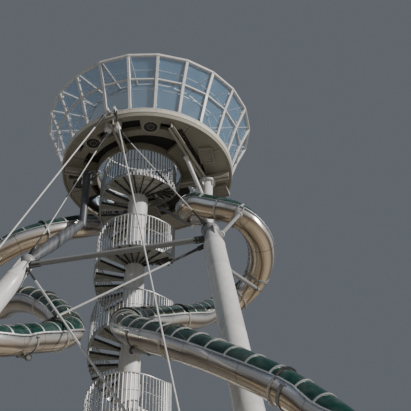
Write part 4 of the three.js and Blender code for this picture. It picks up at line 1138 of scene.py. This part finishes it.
class DeckBuilder(bpy.types.Operator):
    """Builds the deck's edge band and what shows under it"""
    bl_idname = "tower.deck"
    bl_label = "Deck"

    def execute(self, context):
        place = Matrix.Translation(CROWN_CENTRE)
        self.edge_band(place)
        bm = bmesh.new()
        for plates, centre, drop in ((UNDERSIDE_PLATES, place, 0.0), (INNER_PLATES, Matrix(), 0.02)):
            for span, inner, outer in plates:
                start, end = (math.radians(angle) for angle in span)
                section = ring(inner, outer, UNDERSIDE["bottom"] + drop, UNDERSIDE["top"])
                lathe(bm, centre @ spun(start), section, max(2, round((end - start) / 0.09)), 0, end - start)
        make_piece("deck_underside", bm, ("underside_paint",), ("deck_underplate",))
        bm = bmesh.new()
        self.ports(bm)
        self.louvres(bm)
        self.seams(bm, place)
        make_piece("deck_underside_fittings", bm, ("underside_light", "dark_steel_and_shade", "aluminium"))
        bm = bmesh.new()
        self.girders(bm)
        self.rod_heads(bm)
        make_piece("deck_beams", bm, ("underside_paint", "underside_light", "bolt_steel", "white_paint"),
                   ("deck_girders",))
        return {"FINISHED"}

    @staticmethod
    def edge_band(place):
        bm = bmesh.new()
        inner, outer = DECK_RADIUS + 0.003, FASCIA["outer"] + 0.02
        bottom, top = FASCIA["bottom"], FASCIA["top"]
        seam = bottom + 0.14
        lathe(bm, place, ring(inner, outer - 0.02, bottom, seam), 132, 1)
        profile = [(inner, seam), (outer - 0.008, seam), (outer, seam + 0.01), (outer, top - 0.05),
                   (outer + 0.008, top - 0.04), (outer + 0.008, top - 0.006), (outer, top), (inner, top),
                   (inner, seam)]
        lathe(bm, place, profile, 132)
        make_piece("deck_edge_band", bm, ("cream_paint", "underside_paint"), ("deck_fascia",))

    @staticmethod
    def girders(bm):
        """The lining of the stair hole, the beams with their flanges and bolts, and the brace."""
        lathe(bm, Matrix(), ring(*LINING, UNDERSIDE["top"]), 72, 0)
        for start, end in (*GIRDERS, ANCHOR_BEAM):
            for high, width in ((GIRDER_BOTTOM + 0.02, 0.2), (GIRDER_WEB_TOP, 0.03)):
                middle = (GIRDER_BOTTOM + high) / 2
                beam(bm, Vector((*start, middle)), Vector((*end, middle)), width, high - GIRDER_BOTTOM, 1)
        along, aside = Vector((*BEAM_BOLTS["along"], 0)), BEAM_BOLTS["aside"]
        first = Vector((*BEAM_BOLTS["first"], GIRDER_BOTTOM - 0.012))
        for k in range(BEAM_BOLTS["pairs"]):
            for side in (-aside, aside):
                spot = first + along * BEAM_BOLTS["spacing"] * k
                collars(bm, spot + Vector((along.y, -along.x, 0)) * side, UP, ((0, 0.014),), 0.016, 6, 2)
        rod(bm, *DECK_BRACE, 0.062, 24, 3)
        for end in DECK_BRACE:
            ball(bm, end, 0.085, 16, 10, 3)

    @staticmethod
    def rod_heads(bm):
        for x, y in INNER_HEADS:
            ball(bm, (x, y, GIRDER_BOTTOM), 0.11, 24, 16, 3)
            cap = [(0, 0.05), (0.09, 0.05), (0.12, 0.1), (0.12, 0.25), (0, 0.25)]
            lathe(bm, shift(x, y, GIRDER_BOTTOM), cap, 24, 1)
        for x, y in OUTER_HEADS["at"]:
            place = shift(x, y, OUTER_HEADS["z"]) @ spun(OUTER_HEADS["turn"])
            block(bm, place, (0.07, 0.16, 0.12), 3, 0.012)
            block(bm, place @ shift(0, 0.09, -0.02), (0.14, 0.02, 0.2), 1, 0.004)

    @staticmethod
    def ports(bm):
        """The round ports with their rims, grilles and near-black inner discs, which are painted shade, and
        beside a beam the dark strip, its painted shadow, and the studs.
        """
        radius = PORTS["radius"]
        for degrees in PORTS["angles"]:
            spot = Matrix.Translation(
                polar(PORTS["ring"], math.radians(degrees), UNDERSIDE["bottom"], CROWN_CENTRE))
            rim = [(radius - 0.012, -0.012), (radius, -0.022), (radius + 0.022, -0.022),
                   (radius + 0.03, -0.001), (radius - 0.004, 0.0), (radius - 0.012, -0.012)]
            lathe(bm, spot, rim, 40, 0)
            # A near-black disc across each port: painted shade inside the opening.
            lathe(bm, spot, [(0, -0.006), (radius, -0.006), (radius, -0.002), (0, -0.002)], 40, 1)
            lathe(bm, spot, ring(0.09, 0.1, -0.012, -0.006), 28, 0)
            for offset in (-0.14, -0.07, 0, 0.07, 0.14):
                length = 2 * math.sqrt(radius ** 2 - offset ** 2) - 0.02
                block(bm, spot @ shift(0, offset, -0.01), (length, 0.008, 0.008), 1)
        # A dark strip along the beam: painted shadow of the beam.
        beam(bm, *map(Vector, BEAM_SHADOW_STRIP), 0.17, 0.01, 1)
        for x, y in STUDS:
            rod(bm, (x, y, UNDERSIDE["bottom"] - 0.03), (x, y, UNDERSIDE["bottom"]), 0.02, 8, 2)

    @staticmethod
    def louvres(bm):
        for x, y, degrees, width, depth in LOUVRES:
            spot = shift(x, y, LOUVRE_Z) @ spun(math.radians(degrees))
            for side in (-0.5, 0.5):
                block(bm, spot @ shift(0, side * depth, 0), (width, 0.02, 0.1), 0, 0.004)
                block(bm, spot @ shift(side * width, 0, 0), (0.02, depth + 0.02, 0.1), 0, 0.004)
            # A near-black plate behind the slats: painted shade inside the vent.
            block(bm, spot @ shift(0, 0, 0.04), (width - 0.02, depth - 0.02, 0.008), 1)
            for k in range(7):
                slat = spot @ shift((k - 3) * width / 7.4, 0, -0.01) @ Matrix.Rotation(0.9, 4, "Y")
                block(bm, slat, (0.045, depth - 0.02, 0.006), 0)

    @staticmethod
    def seams(bm, place):
        """Joints between the plates, with a row of screws on either side."""
        bottom = UNDERSIDE["bottom"]
        for degrees in PLATE_SEAMS["angles"]:
            spot = place @ spun(math.radians(degrees))
            joint = spot @ shift(PLATE_SEAMS["middle"], 0, bottom - 0.002)
            block(bm, joint, (PLATE_SEAMS["length"], 0.016, 0.004), 1)
            for side in (-0.05, 0.05):
                for radius in PLATE_SEAMS["screws"]:
                    at = spot @ Vector((radius, side, bottom - 0.012))
                    collars(bm, at, UP, ((0, 0.012),), 0.009, 6, 2)


class SlideTubes(bpy.types.Operator):
    """Builds the polished lower half of each slide with its joints and bolts"""
    bl_idname = "tower.slide_tubes"
    bl_label = "Slide tubes"

    def execute(self, context):
        spacing = context.scene.tower_slides.joint_spacing
        rim = FLANGE["outer"]
        outline = ([(-rim, 0), (-rim, -0.01)] + arc(TUBE_RADIUS, 182, 358, 18)
                   + [(rim, -0.01), (rim, 0)] + arc(TUBE_RADIUS - TUBE_WALL, 0, -180, 14))
        for side, route in SLIDES.items():
            bm = bmesh.new()
            stops = route.stops(0.0, route.length)
            carry(bm, [route.frame(d) for d in stops], outline, stops)
            nodes = (f"{side}_chute_upper", f"{side}_chute_lower")
            make_piece(f"{side}_slide_tube", bm, ("polished_stainless",), nodes, 50)
            bm = bmesh.new()
            count = round(route.length / spacing)
            for k in range(count + 1):
                self.joint(bm, route, min(max(k * spacing, 0.02), route.length - 0.02), k in (0, count))
            self.rim_bolts(bm, route)
            make_piece(f"{side}_slide_joints", bm, ("aluminium", "dark_steel_and_shade", "bolt_steel"))
        return {"FINISHED"}

    @staticmethod
    def joint(bm, route, distance, at_end):
        """Two flanges with a gasket between them; bolts only where a joint isn't an end."""
        inner = FLANGE["inner"]
        hoops(bm, route, distance, FLANGE["spans"], band(inner, FLANGE["outer"], 180, 360, 24))
        hoops(bm, route, distance, ((-0.004, 0.004),), band(inner, FLANGE["gasket"], 180, 360, 20), 1)
        for k in range(0 if at_end else 13):
            for offset in (-0.022, 0.022):
                spot = polar(FLANGE["bolts"], math.radians(187 + k * 13.8), offset)
                hex_head(bm, route.frame(distance) @ Matrix.Translation(spot), 0.011, 0.014, 2)

    @staticmethod
    def rim_bolts(bm, route):
        for k in range(int((route.length - 0.4) / RIM_BOLT_SPACING)):
            place = route.frame(0.3 + k * RIM_BOLT_SPACING)
            for side in (-0.384, 0.384):
                spot = place @ shift(side, 0.002, 0) @ Matrix.Rotation(math.pi / 2, 4, "X")
                hex_head(bm, spot, 0.013, 0.042, 2)


class SlideCovers(bpy.types.Operator):
    """Builds the clear green upper half of each slide with its ribs and edge strips"""
    bl_idname = "tower.slide_covers"
    bl_label = "Slide covers"

    def execute(self, context):
        settings = context.scene.tower_slides
        for side, route in SLIDES.items():
            start, end = COVER_INSET, route.length - COVER_INSET
            stops = route.stops(start, end)
            frames = [route.frame(d) for d in stops]
            bm = bmesh.new()
            carry(bm, frames, band(0.357, 0.349, 2, 178, 16), stops)
            nodes = (f"{side}_cover_upper", f"{side}_cover_lower")
            make_piece(f"{side}_slide_cover", bm, ("green_cover",), nodes, 50)
            bm = bmesh.new()
            for edge in (-1, 1):
                strip = [(edge * x, y) for x, y in EDGE_STRIP]
                carry(bm, frames, strip, stops)
            count = round((end - start) / settings.rib_spacing)
            for k in range(count + 1):
                spot = start + 0.02 + k * (end - start - 0.04) / count
                hoops(bm, route, spot, ((-0.022, 0.022),), band(0.358, 0.37, 3, 177, 18))
            for k in range(1, round(route.length / settings.joint_spacing)):
                spot = k * settings.joint_spacing
                if start < spot < end:
                    hoops(bm, route, spot, FLANGE["spans"], band(0.358, 0.4, 2, 178, 20), 1)
            make_piece(f"{side}_cover_ribs", bm, ("aluminium", "dark_steel_and_shade"))
        return {"FINISHED"}


class FrameFinish(bpy.types.Operator):
    """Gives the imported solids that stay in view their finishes"""
    bl_idname = "tower.frame_finish"
    bl_label = "Finishes of the solids"

    def execute(self, context):
        for name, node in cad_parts.items():
            node.data.materials.clear()
            # The deck floor takes near-black paint, painted shade of the recesses over the cut-outs; the
            # other solids take the dark tie paint, partly painted shade.
            node.data.materials.append(material_of("deck_floor_painted_shade" if name == "deck_floor" else "tie_paint_and_shade"))
        return {"FINISHED"}


class StageBuilder(bpy.types.Operator):
    """Sets the camera, the pale floor and the soft studio light"""
    bl_idname = "tower.stage"
    bl_label = "Stage"

    def execute(self, context):
        settings = context.scene.tower_stage
        camera = bpy.data.objects.new("camera", bpy.data.cameras.new("camera"))
        camera.data.lens = settings.focal_length
        camera.data.sensor_width = SENSOR_WIDTH
        camera.data.clip_end = 400
        right, ahead = Vector(CAMERA["right"]), Vector(CAMERA["ahead"])
        camera.matrix_world = axes(CAMERA["at"], right, right.cross(ahead), -ahead)
        context.scene.collection.objects.link(camera)
        context.scene.camera = camera
        bm = bmesh.new()
        bmesh.ops.create_grid(bm, x_segments=1, y_segments=1, size=150)
        mesh = bpy.data.meshes.new("studio_floor")
        bm.to_mesh(mesh)
        bm.free()
        mesh.materials.append(painted("studio_floor", (0.44, 0.415, 0.37, 1), 0.0, 0.8, coat=0.0))
        floor = bpy.data.objects.new("studio_floor", mesh)
        context.scene.collection.objects.link(floor)
        self.light("key_sun", (0.75, -0.48, 0.34), settings.sun_strength, (1, 0.96, 0.9), 0.03)
        self.light("fill_sun", (-0.7, -0.6, 0.3), 0.06, (0.72, 0.84, 1), 0.6)
        self.light("bounce_sun", (0.1, -0.5, -0.8), 0.1, (1, 0.9, 0.76), 0.8)
        world = bpy.data.worlds.new("studio")
        context.scene.world = world
        world.use_nodes = True
        background = world.node_tree.nodes["Background"]
        background.inputs["Color"].default_value = (0.72, 0.8, 0.9, 1)
        background.inputs["Strength"].default_value = 0.17
        return {"FINISHED"}

    @staticmethod
    def light(name, source, strength, shade, softness):
        data = bpy.data.lights.new(name, "SUN")
        data.energy, data.color, data.angle = strength, shade, softness
        lamp = bpy.data.objects.new(name, data)
        lamp.rotation_euler = Vector(source).to_track_quat("Z", "Y").to_euler()
        bpy.context.scene.collection.objects.link(lamp)


class TowerPanel(bpy.types.Panel):
    """Lists the tower's operators and settings"""
    bl_idname = "TOWER_PT_builder"
    bl_label = "Slide tower"
    bl_space_type = "VIEW_3D"
    bl_region_type = "UI"
    bl_category = "Slide tower"

    def draw(self, context):
        for operator in OPERATORS:
            self.layout.operator(operator.bl_idname)
        for holder in SETTINGS:
            group = getattr(context.scene, holder)
            for key in group.bl_rna.properties.keys():
                if key not in ("rna_type", "name"):
                    self.layout.prop(group, key)


SETTINGS = {"tower_paint": TowerPaint, "tower_stair": TowerStair, "tower_slides": TowerSlides,
            "tower_stage": TowerStage}
OPERATORS = (FrameFinish, MastBuilder, StairTreads, StairRailings, LegBuilder, BracingBuilder,
             DeckBuilder, CrownBuilder, CanopyBuilder, SlideTubes, SlideCovers, StageBuilder)
CLASSES = (*SETTINGS.values(), *OPERATORS, TowerPanel)


def register():
    for cls in CLASSES:
        bpy.utils.register_class(cls)
    for holder, cls in SETTINGS.items():
        setattr(bpy.types.Scene, holder, bpy.props.PointerProperty(type=cls))


def unregister():
    for holder in SETTINGS:
        delattr(bpy.types.Scene, holder)
    for cls in reversed(CLASSES):
        bpy.utils.unregister_class(cls)


def main():
    register()
    for operator in OPERATORS:
        group, name = operator.bl_idname.split(".")
        getattr(getattr(bpy.ops, group), name)()


if __name__ == "__main__":
    main()
